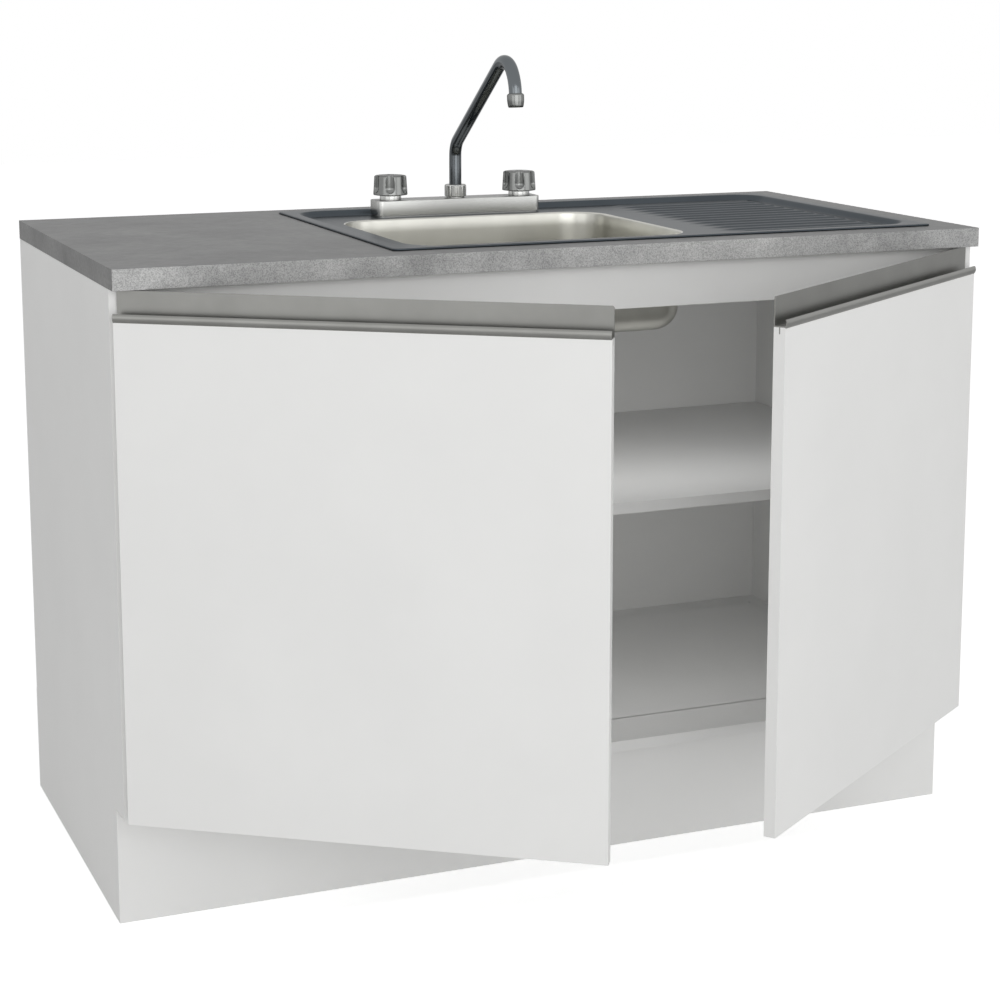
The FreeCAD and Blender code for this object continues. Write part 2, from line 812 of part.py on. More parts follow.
def knob_screw_shape():
    """The screw in the knob's crown, reaching down into the stem."""
    head = cylinder(size("knob_screw_head"), size("knob_screw_sheet"),
                    Vector(0, 0, knob_seat))
    foot = size("stem_length") - size("knob_screw_grip")
    shank = cylinder(size("knob_screw_radius"), knob_seat - foot, Vector(0, 0, foot))
    return head.fuse(shank).removeSplitter()


def knob_body(label):
    """A tapered knob with a chamfered crown and round-ended flutes."""
    radius = size("knob_radius")
    top = size("knob_height")
    crown = size("knob_top_radius")
    bore = size("stem_radius")
    socket = size("stem_length") - knob_lift
    well = top - size("knob_screw_well")
    edge = size("knob_edge")
    chamfer = size("knob_chamfer")
    body = turned(label, [
        (bore, 0), (radius - edge, 0), (radius, edge), (crown, top - chamfer),
        (crown - chamfer, top - edge), (size("knob_screw_head"), top),
        (size("knob_screw_head"), well), (size("knob_screw_radius"), well),
        (size("knob_screw_radius"), socket), (bore, socket)])
    base = size("flute_foot")
    reach = radius - size("flute_depth") + size("flute_radius")
    tool = body.newObject("PartDesign::SubtractiveCylinder", label + "Flute")
    bind(tool, "Radius", "flute_radius")
    bind(tool, "Height", "knob_height")
    tool.AttachmentOffset = Placement(Vector(0, -reach, base), Rotation())
    ball = body.newObject("PartDesign::SubtractiveSphere", label + "FluteFoot")
    bind(ball, "Radius", "flute_radius")
    ball.AttachmentOffset = Placement(Vector(0, -reach, base), Rotation())
    ring = body.newObject("PartDesign::PolarPattern", label + "Flutes")
    ring.Originals = [tool, ball]
    ring.Axis = (body.Group[0], ["V_Axis"])
    ring.Angle = 360
    bind(ring, "Occurrences", "knob_flutes")
    body.Tip = ring
    return body


knob_turn = Rotation(Vector(0, 0, 1), size("knob_rest_angle"))
for name, place in zip(("left", "right"), knob_places):
    valve_place = Placement(place + Vector(0, 0, tap_top), Rotation())
    node(feature(name + "_valve_bonnet", bonnet_shape(), valve_place))
    node(feature(name + "_valve_stem", stem_shape(), valve_place))
    knob = knob_body(name + "_knob")
    knob.Placement = Placement(place + Vector(0, 0, tap_top + knob_lift), knob_turn)
    node(knob)
    node(feature(name + "_knob_screw", knob_screw_shape(), valve_place))


def spout_path():
    """The spout's centre line, from its foot in the body to the nozzle."""
    rise = math.radians(size("spout_rise"))
    drop = math.radians(size("spout_drop"))
    tilt = math.radians(size("nozzle_tilt"))
    foot = Vector(0, 0, size("tap_foot") + size("spout_collar") + size("running_gap"))
    elbow = Vector(0, 0, size("spout_riser"))
    along = Vector(0, -math.cos(rise), math.sin(rise))
    summit = elbow + along * size("spout_run")
    turn = math.pi / 2 - rise
    tangent = size("spout_elbow") * math.tan(turn / 2)
    start = elbow - Vector(0, 0, tangent)
    end = elbow + along * tangent
    centre = start + Vector(0, -size("spout_elbow"), 0)
    half = turn / 2
    middle = centre + Vector(0, math.cos(half), math.sin(half)) * size("spout_elbow")
    crown = size("spout_crown")
    crown_tangent = crown * math.tan((rise + drop) / 2)
    crown_start = summit - along * crown_tangent
    crown_centre = crown_start - Vector(0, math.sin(rise), math.cos(rise)) * crown
    halfway = (rise - drop) / 2
    crown_middle = crown_centre + Vector(0, math.sin(halfway), math.cos(halfway)) * crown
    crown_end = crown_centre + Vector(0, -math.sin(drop), math.cos(drop)) * crown
    fall = size("spout_drop_radius")
    fall_centre = crown_end - Vector(0, -math.sin(drop), math.cos(drop)) * fall
    last = math.pi / 2 - tilt
    mid = (drop + last) / 2
    fall_middle = fall_centre + Vector(0, -math.sin(mid), math.cos(mid)) * fall
    fall_end = fall_centre + Vector(0, -math.sin(last), math.cos(last)) * fall
    heading = Vector(0, -math.cos(last), -math.sin(last))
    tip = fall_end + heading * size("spout_tip")
    edges = [Part.LineSegment(foot, start), Part.Arc(start, middle, end),
             Part.LineSegment(end, crown_start),
             Part.Arc(crown_start, crown_middle, crown_end),
             Part.Arc(crown_end, fall_middle, fall_end), Part.LineSegment(fall_end, tip)]
    return Part.Wire([edge.toShape() for edge in edges]), tip, heading


path, nozzle, heading = spout_path()


def pipe(radius):
    """A round rod swept along the spout's centre line."""
    start = path.Vertexes[0].Point
    ring = Part.Wire(Part.Circle(start, Vector(0, 0, 1), radius).toShape())
    return path.makePipeShell([ring], True, False)


spout = pipe(size("spout_radius")).cut(pipe(size("spout_radius") - size("spout_wall")))
node(feature("spout", spout, tap_place))

grip = size("spout_tip") - size("running_gap")
aerator_bore = size("spout_radius") + size("running_fit")
aerator_radius = size("aerator_radius")
aerator_low = aerator_radius - size("aerator_taper")
aerator_end = size("aerator_height")
shoulder = size("aerator_shoulder")
aerator = turned("aerator", [
    (aerator_bore, 0), (aerator_bore + size("spout_wall") / 2, 0),
    (aerator_radius, shoulder), (aerator_radius, aerator_end / 2),
    (aerator_low + shoulder / 4, aerator_end - shoulder), (aerator_low - shoulder / 4, aerator_end),
    (size("aerator_mouth"), aerator_end), (size("aerator_mouth"), aerator_end - shoulder),
    (0, aerator_end - shoulder), (0, grip + size("running_fit")),
    (aerator_bore, grip + size("running_fit"))])
turn_down = Rotation(Vector(0, 0, 1), heading)
aerator.Placement = tap_place.multiply(Placement(nozzle - heading * grip, turn_down))
node(aerator)


def spout_nut_shape():
    """The nut that holds the spout down: shallow flutes between two chamfers."""
    radius = size("spout_nut_radius")
    height = size("spout_nut_height")
    nut = cylinder(radius, height, Vector(0, 0, 0))
    rims = rim_edges(nut, 0, -radius, radius) + rim_edges(nut, height, -radius, radius)
    nut = nut.makeChamfer(size("spout_nut_chamfer"), rims)
    cutter = size("spout_nut_flute_radius")
    reach = radius + cutter - size("spout_nut_flute_depth")
    count = int(size("spout_nut_flutes"))
    flutes = []
    for index in range(count):
        angle = 2 * math.pi * (index + 0.5) / count
        place = Vector(math.cos(angle), math.sin(angle), 0) * reach
        flutes.append(cylinder(cutter, height, place))
    bore = cylinder(size("spout_radius") + size("running_fit"), height, Vector(0, 0, 0))
    return nut.cut(Part.makeCompound(flutes + [bore])).removeSplitter()


nut_place = Placement(tap_middle + Vector(0, 0, tap_top + size("spout_collar")),
                      Rotation())
node(feature("spout_nut", spout_nut_shape(), nut_place))


def at_shanks(shape, z):
    """A shape repeated under both knobs at a height."""
    copies = []
    for place in knob_places:
        copy = shape.copy()
        copy.Placement = Placement(place + Vector(0, 0, z), Rotation())
        copies.append(copy)
    return Part.makeCompound(copies)


def shank_nut_shape():
    """A lock nut with a washer face, six flats and a bore for the shank's neck."""
    radius = size("shank_nut_radius")
    washer = size("shank_washer")
    low = -size("shank_nut_height") - washer
    flats = [Vector(radius * math.cos(math.radians(60 * k)),
                    radius * math.sin(math.radians(60 * k)), low) for k in range(7)]
    hexagon = Part.Face(Part.makePolygon(flats)).extrude(
        Vector(0, 0, size("shank_nut_height")))
    collar = cylinder(radius + washer, washer, Vector(0, 0, -washer))
    bore = cylinder(size("shank_neck_radius") + size("running_fit"), -low, Vector(0, 0, low))
    return hexagon.fuse(collar).cut(bore).removeSplitter()


def shank_shape():
    """A threaded inlet tube: a neck for the nut and a thinner end for the supply."""
    down = Vector(0, 0, -1)
    origin = Vector(0, 0, 0)
    tube = cylinder(size("shank_radius"), size("shank_length"), origin, down)
    neck = cylinder(size("shank_neck_radius"), size("shank_neck_length"), origin, down)
    bore = cylinder(size("shank_radius") - size("shank_wall"), size("shank_length"),
                    origin, down)
    return tube.fuse(neck).cut(bore).removeSplitter()


node(feature("inlet_shanks", at_shanks(shank_shape(), deck)))
node(feature("shank_nuts", at_shanks(shank_nut_shape(), deck - size("sheet"))))

# --- Doors, handles and hinges ------------------------------------------------
# The left door is drawn shut, in a frame whose origin is the unit's left front
# corner at the floor, and then swung open about its hinge links. The right door
# and its hinges are the mirror of the left ones.
door_left = size("door_reveal")
door_right = door_left + size("door_width")
door_back = -size("door_back_gap")
door_front = door_back - size("door_board")
door_low = size("plinth_height") + size("door_floor_gap")
door_top = door_low + size("door_height")
arm_pin = Vector(size("arm_pin_inset"), size("arm_pin_back"), 0)
cup_pin = Vector(door_left + size("cup_pin_inset"), door_back - size("cup_pin_depth"), 0)
corner = Placement(Vector(-half_width, -half_depth, 0), Rotation())


def swing(pin, degrees):
    """A turn about an upright pin, anticlockwise from above."""
    return Placement(Vector(0, 0, 0), Rotation(Vector(0, 0, 1), degrees), pin)


opening_angle = size("door_rest_angle")
link_turn = swing(arm_pin, size("link_share") * opening_angle)
door_turn = link_turn.multiply(
    swing(cup_pin, -(1 + size("link_share")) * opening_angle))
link_place = corner.multiply(link_turn)
door_place = corner.multiply(door_turn)

cup_middle_x = door_left + size("cup_centre")


def door_shape():
    """The door board with its cup holes, screw holes and the handle's groove."""
    board = Part.makeBox(size("door_width"), size("door_board"), size("door_height"),
                         Vector(door_left, door_front, door_low))
    tools = []
    for height in hinge_heights:
        place = Vector(cup_middle_x, door_back, height)
        tools.append(cylinder(size("cup_radius") + size("cup_fit"),
                              size("cup_depth") + size("cup_fit"), place,
                              Vector(0, -1, 0)))
        for side in (-1, 1):
            screw = place + Vector(size("cup_ear_offset"), 0, side * size("cup_ear"))
            tools.append(cylinder(size("hinge_screw_radius"), size("hinge_screw_length"),
                                  screw, Vector(0, -1, 0)))
    middle_y = (door_front + door_back) / 2
    thick = size("handle_sheet")
    tools.append(Part.makeBox(size("door_width"), thick, size("handle_tongue"),
                              Vector(door_left, middle_y - thick / 2,
                                     door_top - size("handle_tongue"))))
    return board.cut(Part.makeCompound(tools)).removeSplitter()


left_door = node(feature("left_door", door_shape(), door_place))
node(mirrored("right_door", left_door))


def handle_shape():
    """The finger-pull profile: a back fin, a floor, a tongue and a bulging lip."""
    thick = size("handle_sheet")
    bulge = size("handle_bulge")
    hook = size("handle_hook")
    lip = size("handle_lip")
    floor = door_top + thick
    middle_y = (door_front + door_back) / 2

    def at(y, z):
        return Vector(door_left, y, z)

    lip_low = at(door_front, door_top - hook)
    lip_top = at(door_front - bulge * 0.35, door_top - hook + lip)
    lip_swell = at(door_front - bulge, door_top - hook + lip * 0.52)
    inner_top = at(door_front - bulge * 0.35 + thick * 0.8, door_top - hook + lip)
    inner_swell = at(door_front - bulge + thick, door_top - hook + lip * 0.55)
    inner_low = at(door_front + thick * 0.4, floor)
    points = [lip_low, at(door_front, door_top), at(middle_y - thick / 2, door_top),
              at(middle_y - thick / 2, door_top - size("handle_tongue")),
              at(middle_y + thick / 2, door_top - size("handle_tongue")),
              at(middle_y + thick / 2, door_top), at(door_back, door_top),
              at(door_back, door_top + size("handle_height")),
              at(door_back - thick, door_top + size("handle_height")),
              at(door_back - thick, floor), inner_low]
    edges = [Part.LineSegment(a, b).toShape() for a, b in zip(points, points[1:])]
    edges.append(Part.Arc(inner_low, inner_swell, inner_top).toShape())
    edges.append(Part.LineSegment(inner_top, lip_top).toShape())
    edges.append(Part.Arc(lip_top, lip_swell, lip_low).toShape())
    section = Part.Face(Part.Wire(edges))
    profile = section.extrude(Vector(size("door_width"), 0, 0))
    fin_top = door_top + size("handle_height")
    corners = [edge for edge in profile.Edges
               if abs(edge.BoundBox.ZMin - fin_top) < 1e-4
               and edge.BoundBox.XLength < 1e-4]
    return profile.makeFillet(size("handle_corner"), corners) if corners else profile


left_handle = node(feature("left_handle", handle_shape(), door_place))
node(mirrored("right_handle", left_handle))


def bumpers():
    """Two soft pads on the back of the door, by its opening edge."""
    pads = []
    inset_x = door_right - size("bumper_inset")
    thick = size("door_back_gap") - size("bumper_clearance")
    rail_middle = worktop_low - size("rail_height") / 2
    for height in (size("plinth_height") + size("board") / 2, rail_middle - size("bumper_drop")):
        pads.append(cylinder(size("bumper_radius"), thick,
                             Vector(inset_x, door_back, height), Vector(0, 1, 0)))
    return Part.makeCompound(pads)


left_bumpers = node(feature("left_bumpers", bumpers(), door_place))
node(mirrored("right_bumpers", left_bumpers))


def at_hinges(shape):
    """A hinge piece repeated at both hinge heights."""
    copies = []
    for height in hinge_heights:
        copy = shape.copy()
        copy.translate(Vector(0, 0, height))
        copies.append(copy)
    return Part.makeCompound(copies)


def capsule(start, end, radius, low, high):
    """An upright plate with round ends between two plan points."""
    along = (end - start)
    side = Vector(-along.y, along.x, 0).normalize() * radius
    tip = Vector(along).normalize() * radius
    edges = [Part.LineSegment(start + side, end + side).toShape(),
             Part.Arc(end + side, end + tip, end - side).toShape(),
             Part.LineSegment(end - side, start - side).toShape(),
             Part.Arc(start - side, start - tip, start + side).toShape()]
    face = Part.Face(Part.Wire(edges))
    face.translate(Vector(0, 0, low))
    return face.extrude(Vector(0, 0, high - low))


def cup_shape():
    """The steel cup sunk in the door, with two screw ears on the door's back."""
    radius = size("cup_radius")
    wall = size("cup_wall")
    depth = size("cup_depth")
    back = Vector(cup_middle_x, door_back, 0)
    down = Vector(0, -1, 0)
    shell = cylinder(radius, depth, back, down)
    ears = []
    for side in (-1, 1):
        ear = back + Vector(size("cup_ear_offset"), 0, side * size("cup_ear"))
        ears.append(cylinder(size("cup_ear_radius"), size("cup_ear_sheet"), ear,
                             Vector(0, 1, 0)))
        bridge = radius - size("cup_bridge")
        low = min(side * bridge, side * size("cup_ear"))
        ears.append(Part.makeBox(2 * size("cup_ear_radius"), size("cup_ear_sheet"),
                                 size("cup_ear") - bridge,
                                 Vector(ear.x - size("cup_ear_radius"), door_back, low)))
    cup = shell.fuse(ears)
    cup = cup.cut(cylinder(radius - wall, depth - wall + size("cup_ear_sheet"),
                           back + Vector(0, size("cup_ear_sheet"), 0), down))
    holes = [cylinder(size("hinge_screw_radius"), size("cup_ear_sheet"),
                      back + Vector(size("cup_ear_offset"), 0, side * size("cup_ear")),
                      Vector(0, 1, 0)) for side in (-1, 1)]
    return cup.cut(Part.makeCompound(holes)).removeSplitter()


def cup_pin_shape():
    """The pin across the cup that carries the link's front eye."""
    chord = size("cup_radius") - size("cup_wall")
    reach = abs(cup_pin.x - cup_middle_x) + size("hinge_pin_radius")
    half = math.sqrt(chord * chord - reach * reach) - size("cup_fit")
    return cylinder(size("hinge_pin_radius"), 2 * half, cup_pin - Vector(0, 0, half))


def screw_shape(place, direction, head_gap):
    """A small countersunk-looking screw: a low head and a shank."""
    head = cylinder(size("hinge_screw_head"), size("hinge_screw_radius") * 0.8,
                    place - direction * (head_gap + size("hinge_screw_radius") * 0.8),
                    direction)
    shank = cylinder(size("hinge_screw_radius"), size("hinge_screw_length") + head_gap,
                     place - direction * head_gap, direction)
    return head.fuse(shank).removeSplitter()


def cup_screws_shape():
    """The two screws through one cup's ears."""
    place = Vector(cup_middle_x + size("cup_ear_offset"), door_back, 0)
    return Part.makeCompound([
        screw_shape(place + Vector(0, 0, side * size("cup_ear")), Vector(0, -1, 0),
                    size("cup_ear_sheet")) for side in (-1, 1)])


def link_shape():
    """The cranked link between the arm's pin and the cup's pin."""
    along = cup_pin - arm_pin
    unit = Vector(along).normalize()
    across = Vector(-unit.y, unit.x, 0)
    elbow = (arm_pin + cup_pin) / 2 + across * size("link_crank") + unit * size("link_skew")
    half = size("link_half")
    link = capsule(arm_pin, elbow, size("link_radius"), -half, half)
    eyes = [cylinder(size("link_eye"), 2 * half, pin - Vector(0, 0, half))
            for pin in (arm_pin, cup_pin)]
    link = link.fuse([capsule(elbow, cup_pin, size("link_radius"), -half, half)] + eyes)
    bore = size("hinge_pin_radius") + size("running_fit")
    bores = [cylinder(bore, 2 * half, pin - Vector(0, 0, half))
             for pin in (arm_pin, cup_pin)]
    return link.cut(Part.makeCompound(bores)).removeSplitter()


arm_inner = size("board") + size("plate_base")
arm_outer = arm_inner + size("arm_rise")


def arm_shape():
    """The hinge arm: a channel over the plate, whose cheeks run out to the pin."""
    thick = size("arm_sheet")
    half = size("arm_half")
    start = Vector(arm_outer - size("arm_width") / 2, size("arm_start") + size("arm_reach"), 0)
    cheeks = []
    for low in (-half - thick, half):
        flank = Part.makeBox(size("arm_width"), size("arm_end") - size("arm_start"), thick,
                             Vector(arm_outer - size("arm_width"), size("arm_start"), low))
        cheeks.append(flank.fuse(capsule(start, arm_pin, size("arm_eye"), low,
                                         low + thick)))
    web = Part.makeBox(thick, size("arm_end") - size("arm_start"), 2 * half,
                       Vector(arm_outer - thick, size("arm_start"), -half))
    arm = web.fuse(cheeks)
    bore = cylinder(size("hinge_pin_radius"), 2 * (half + thick),
                    arm_pin - Vector(0, 0, half + thick))
    return arm.cut(bore).removeSplitter()


def plate_shape():
    """The mounting plate: a boss inside the arm and a wing with two screw holes."""
    base = size("plate_base")
    boss = Part.makeBox(size("arm_rise") + base - size("arm_sheet"),
                        size("arm_end") - size("arm_start") - 2 * size("plate_margin"),
                        2 * size("arm_half"),
                        Vector(size("board"), size("arm_start") + size("plate_margin"),
                               -size("arm_half")))
    wing = Part.makeBox(base, size("plate_wing"), 2 * size("plate_half"),
                        Vector(size("board"), size("plate_row") - size("plate_wing") / 2,
                               -size("plate_half")))
    holes = [cylinder(size("hinge_screw_radius"), base,
                      Vector(size("board"), size("plate_row"),
                             side * size("plate_screw_gap") / 2), Vector(1, 0, 0))
             for side in (-1, 1)]
    return boss.fuse(wing).cut(Part.makeCompound(holes)).removeSplitter()


def plate_screws_shape():
    """The two screws that hold one plate to the side panel."""
    return Part.makeCompound([
        screw_shape(Vector(size("board"), size("plate_row"),
                           side * size("plate_screw_gap") / 2), Vector(-1, 0, 0),
                    size("plate_base")) for side in (-1, 1)])


arm_pin_shape = cylinder(size("hinge_pin_radius"),
                         2 * (size("arm_half") + size("arm_sheet")),
                         arm_pin - Vector(0, 0, size("arm_half") + size("arm_sheet")))

hinge_pieces = [("hinge_cups", cup_shape(), door_place),
                ("cup_pins", cup_pin_shape(), door_place),
                ("cup_screws", cup_screws_shape(), door_place),
                ("hinge_links", link_shape(), link_place),
                ("hinge_arms", arm_shape(), corner),
                ("arm_pins", arm_pin_shape, corner),
                ("hinge_plates", plate_shape(), corner),
                ("plate_screws", plate_screws_shape(), corner)]
for name, shape, place in hinge_pieces:
    left_piece = feature("left_" + name, at_hinges(shape), place)
    right_piece = mirrored("right_" + name, left_piece)
    if name in ("arm_pins", "plate_screws"):
        node(together(name, [left_piece, right_piece]))
    else:
        node(left_piece)
        node(right_piece)

# --- Check and write ----------------------------------------------------------
doc.recompute()
for thing in doc.Objects:
    if "Invalid" in thing.State or "Error" in thing.State:
        raise RuntimeError(f"{thing.Label} did not recompute: {thing.State}")
os.makedirs("parts", exist_ok=True)
for piece in nodes:
    shape = piece.Shape
    if shape.isNull() or not shape.isValid() or not shape.Solids:
        raise RuntimeError(f"{piece.Label} has no valid solid")
for piece in nodes:
    piece.Shape.exportStep(f"parts/{piece.Label}.step")
print(f"{len(nodes)} pieces written")
print(f"arm pin at {corner.multVec(arm_pin)}, cup pin at {door_place.multVec(cup_pin)}")
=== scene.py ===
"""Looks for a kitchen sink unit: two-door base cabinet, worktop, pressed sink and bridge tap.

Lengths are in metres, in the same frame as the solid model: +X to the right, +Y to the back,
+Z up, with the origin on the floor under the middle of the carcass.
"""
import logging
import math
from dataclasses import dataclass
from enum import Enum
from typing import Callable, Sequence

import bmesh
import bpy
import numpy as np
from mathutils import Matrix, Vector

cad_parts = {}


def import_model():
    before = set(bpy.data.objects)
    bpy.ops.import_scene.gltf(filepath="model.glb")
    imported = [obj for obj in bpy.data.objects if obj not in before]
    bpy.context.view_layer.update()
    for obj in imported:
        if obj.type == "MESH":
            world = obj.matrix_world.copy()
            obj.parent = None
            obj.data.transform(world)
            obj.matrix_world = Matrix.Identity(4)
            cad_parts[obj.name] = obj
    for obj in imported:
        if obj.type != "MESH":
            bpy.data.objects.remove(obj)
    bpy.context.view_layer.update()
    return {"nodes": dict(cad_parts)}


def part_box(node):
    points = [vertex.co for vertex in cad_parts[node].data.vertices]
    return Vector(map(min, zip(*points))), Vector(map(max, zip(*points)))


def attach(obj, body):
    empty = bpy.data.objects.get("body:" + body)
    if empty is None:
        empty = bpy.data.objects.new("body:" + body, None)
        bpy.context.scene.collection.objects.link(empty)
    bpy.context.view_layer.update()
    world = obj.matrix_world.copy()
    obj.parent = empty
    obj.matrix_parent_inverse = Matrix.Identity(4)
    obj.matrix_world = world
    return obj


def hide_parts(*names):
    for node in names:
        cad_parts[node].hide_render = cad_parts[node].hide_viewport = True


LOG = logging.getLogger("sink_unit")
Array = np.ndarray
Colour = tuple[float, float, float]


class Body(Enum):
    """The rigid bodies that pieces ride on."""

    CABINET = "cabinet"
    LEFT_DOOR = "left_door"
    RIGHT_DOOR = "right_door"
    LEFT_LINKS = "left_hinge_links"
    RIGHT_LINKS = "right_hinge_links"
    LEFT_KNOB = "left_knob"
    RIGHT_KNOB = "right_knob"
    SPOUT = "spout"
    BASKET = "strainer_basket"


class Side(Enum):
    """The left or right hand of the unit, as the sign of X."""

    LEFT = -1
    RIGHT = 1

    @property
    def word(self) -> str:
        """The side's name in node names."""
        return self.name.lower()


# --- Node trees -----------------------------------------------------------------


class Tree:
    """Short calls for building one material's node tree."""

    def __init__(self, name: str) -> None:
        """Starts a material with a bare principled shader.

        Args:
            name: the material's name.
        """
        self.material = bpy.data.materials.new(name)
        self.material.use_nodes = True
        self.nodes = self.material.node_tree.nodes
        self.links = self.material.node_tree.links
        self.shader = self.nodes["Principled BSDF"]
        self.place = self.nodes.new("ShaderNodeTexCoord").outputs["Object"]

    def set(self, **values: object) -> "Tree":
        """Sets the shader's own sockets, with _ for the spaces in their names.

        Args:
            values: the socket names and their values.

        Returns:
            The tree itself.
        """
        for word, value in values.items():
            self.shader.inputs[word.replace("_", " ")].default_value = value
        return self

    def stretched(self, scale: Sequence[float]) -> bpy.types.NodeSocket:
        """Object coordinates stretched along the axes.

        Args:
            scale: the factor along each axis.

        Returns:
            The mapped coordinates.
        """
        node = self.nodes.new("ShaderNodeMapping")
        node.inputs["Scale"].default_value = scale
        self.links.new(self.place, node.inputs["Vector"])
        return node.outputs["Vector"]

    def noise(self, scale: float, detail: float = 4.0, roughness: float = 0.55,
              place: bpy.types.NodeSocket | None = None) -> bpy.types.NodeSocket:
        """Cloudy noise from 0 to 1.

        Args:
            scale: how many clouds there are to a metre.
            detail: the number of finer layers.
            roughness: how strong the finer layers are.
            place: the coordinates, or None for the plain object ones.

        Returns:
            The noise's factor.
        """
        node = self.nodes.new("ShaderNodeTexNoise")
        node.inputs["Scale"].default_value = scale
        node.inputs["Detail"].default_value = detail
        node.inputs["Roughness"].default_value = roughness
        self.links.new(place or self.place, node.inputs["Vector"])
        return node.outputs["Fac"]

    def ramp(self, value: bpy.types.NodeSocket,
             stops: Sequence[tuple[float, Colour]]) -> bpy.types.NodeSocket:
        """A colour ramp over a value.

        Args:
            value: what the ramp reads.
            stops: pairs of place and colour.

        Returns:
            The ramp's colour.
        """
        node = self.nodes.new("ShaderNodeValToRGB")
        band = node.color_ramp.elements
        while len(band) < len(stops):
            band.new(0.5)
        for stop, (place, colour) in zip(band, stops):
            stop.position = place
            stop.color = (*colour, 1.0)
        self.links.new(value, node.inputs["Fac"])
        return node.outputs["Color"]

    def spread(self, value: bpy.types.NodeSocket, low: float, high: float,
               start: float = 0.0, end: float = 1.0) -> bpy.types.NodeSocket:
        """A value carried from one range to another.

        Args:
            value: what is read.
            low: the result at start.
            high: the result at end.
            start: the value that gives low.
            end: the value that gives high.

        Returns:
            The new value.
        """
        node = self.nodes.new("ShaderNodeMapRange")
        for socket, number in zip(("From Min", "From Max", "To Min", "To Max"),
                                  (start, end, low, high)):
            node.inputs[socket].default_value = number
        self.links.new(value, node.inputs["Value"])
        return node.outputs["Result"]

    def beyond(self, axis: str, limit: float) -> bpy.types.NodeSocket:
        """1 where an object coordinate lies below a limit, and 0 a hair above it.

        Args:
            axis: X, Y or Z.
            limit: the coordinate in metres.

        Returns:
            The mask.
        """
        parts = self.nodes.new("ShaderNodeSeparateXYZ")
        self.links.new(self.place, parts.inputs["Vector"])
        return self.spread(parts.outputs[axis], 1.0, 0.0, limit, limit + 0.0004)

    def mix(self, amount: bpy.types.NodeSocket | float, first: object, second: object,
            mode: str = "MIX") -> bpy.types.NodeSocket:
        """Two colours mixed.

        Args:
            amount: the second colour's share.
            first: a colour or a socket.
            second: a colour or a socket.
            mode: the way of mixing.

        Returns:
            The mixed colour.
        """
        node = self.nodes.new("ShaderNodeMix")
        node.data_type = "RGBA"
        node.blend_type = mode
        for index, value in ((0, amount), (6, first), (7, second)):
            socket = node.inputs[index]
            if isinstance(value, bpy.types.NodeSocket):
                self.links.new(value, socket)
            else:
                socket.default_value = value if index == 0 else (*value, 1.0)
        return node.outputs[2]

    def colour(self, socket: bpy.types.NodeSocket) -> "Tree":
        """Links the base colour."""
        self.links.new(socket, self.shader.inputs["Base Color"])
        return self

    def roughness(self, socket: bpy.types.NodeSocket) -> "Tree":
        """Links the roughness."""
        self.links.new(socket, self.shader.inputs["Roughness"])
        return self

    def bump(self, height: bpy.types.NodeSocket, depth: float,
             strength: float = 1.0) -> "Tree":
        """Adds relief to the surface.

        Args:
            height: the relief from 0 to 1.
            depth: the height in metres that 1 stands for.
            strength: how much of it shows.

        Returns:
            The tree itself.
        """
        node = self.nodes.new("ShaderNodeBump")
        node.inputs["Distance"].default_value = depth
        node.inputs["Strength"].default_value = strength
        self.links.new(height, node.inputs["Height"])
        self.links.new(node.outputs["Normal"], self.shader.inputs["Normal"])
        return self


# --- Finishes -------------------------------------------------------------------


def shaded(colour: Colour, factor: float) -> Colour:
    """A colour with each channel times a factor, and none over 1."""
    return tuple(min(1.0, channel * factor) for channel in colour)


@dataclass(frozen=True)
class BoardFinish:
    """Smooth melamine-faced board with a faint pressed texture."""

    name: str = "white_melamine"
    colour: Colour = (0.77, 0.77, 0.76)
    roughness: float = 0.42
    grain: float = 900.0

    def material(self) -> bpy.types.Material:
        """The finish's material."""
        tree = Tree(self.name)
        clouds = tree.noise(5.0, 3.0)
        tree.colour(tree.ramp(clouds, [(0.35, shaded(self.colour, 0.985)),
                                       (0.65, shaded(self.colour, 1.012))]))
        fine = tree.noise(self.grain, 2.0)
        tree.roughness(tree.spread(fine, self.roughness - 0.05, self.roughness + 0.05))
        tree.bump(fine, 0.00004, 0.35)
        tree.set(Specular_IOR_Level=0.4)
        return tree.material


@dataclass(frozen=True)
class LaminateFinish:
    """Grey concrete-look laminate: soft clouds with fine streaks, and painted shade on two
    faces.

    The front strip is grained like granite and the left one smooth. The top and the left strip
    are painted darker than the front, as painted shade for light that falls mostly on the
    front.
    """

    left: float
    front: float
    name: str = "concrete_laminate"
    dark: Colour = (0.300, 0.302, 0.300)
    middle: Colour = (0.485, 0.486, 0.482)
    light: Colour = (0.660, 0.660, 0.652)
    # painted shade: factors that make the top and the left strip darker than the front face
    top_painted_shade: float = 0.38
    left_painted_shade: float = 0.38

    def material(self) -> bpy.types.Material:
        """The finish's material."""
        tree = Tree(self.name)
        clouds = tree.noise(8.0, 9.0, 0.66)
        base = tree.ramp(clouds, [(0.30, self.dark), (0.50, self.middle), (0.70, self.light)])
        streaks = tree.noise(1.0, 5.0, 0.7, tree.stretched((60.0, 210.0, 210.0)))
        scratched = tree.ramp(streaks, [(0.32, (0.72,) * 3), (0.62, (1.0,) * 3)])
        grains = tree.noise(850.0, 2.0, 0.6)
        grained = tree.ramp(grains, [(0.38, (0.58,) * 3), (0.58, (1.0,) * 3)])
        front = tree.beyond("Y", self.front + 0.0002)
        left = tree.beyond("X", self.left + 0.0002)
        relief = tree.mix(front, scratched, grained)
        # painted shade: the top and the left strip are multiplied darker than the front, for
        # light that falls mostly on the front
        painted_shade_mix = tree.mix(front, (self.top_painted_shade,) * 3, (1.0,) * 3)
        painted_shade_mix = tree.mix(left, painted_shade_mix, (self.left_painted_shade,) * 3)
        tree.colour(tree.mix(1.0, tree.mix(1.0, base, relief, "MULTIPLY"), painted_shade_mix, "MULTIPLY"))
        tree.roughness(tree.spread(clouds, 0.42, 0.58))
        tree.bump(grains, 0.00006, 0.5)
        tree.set(Specular_IOR_Level=0.35)
        return tree.material


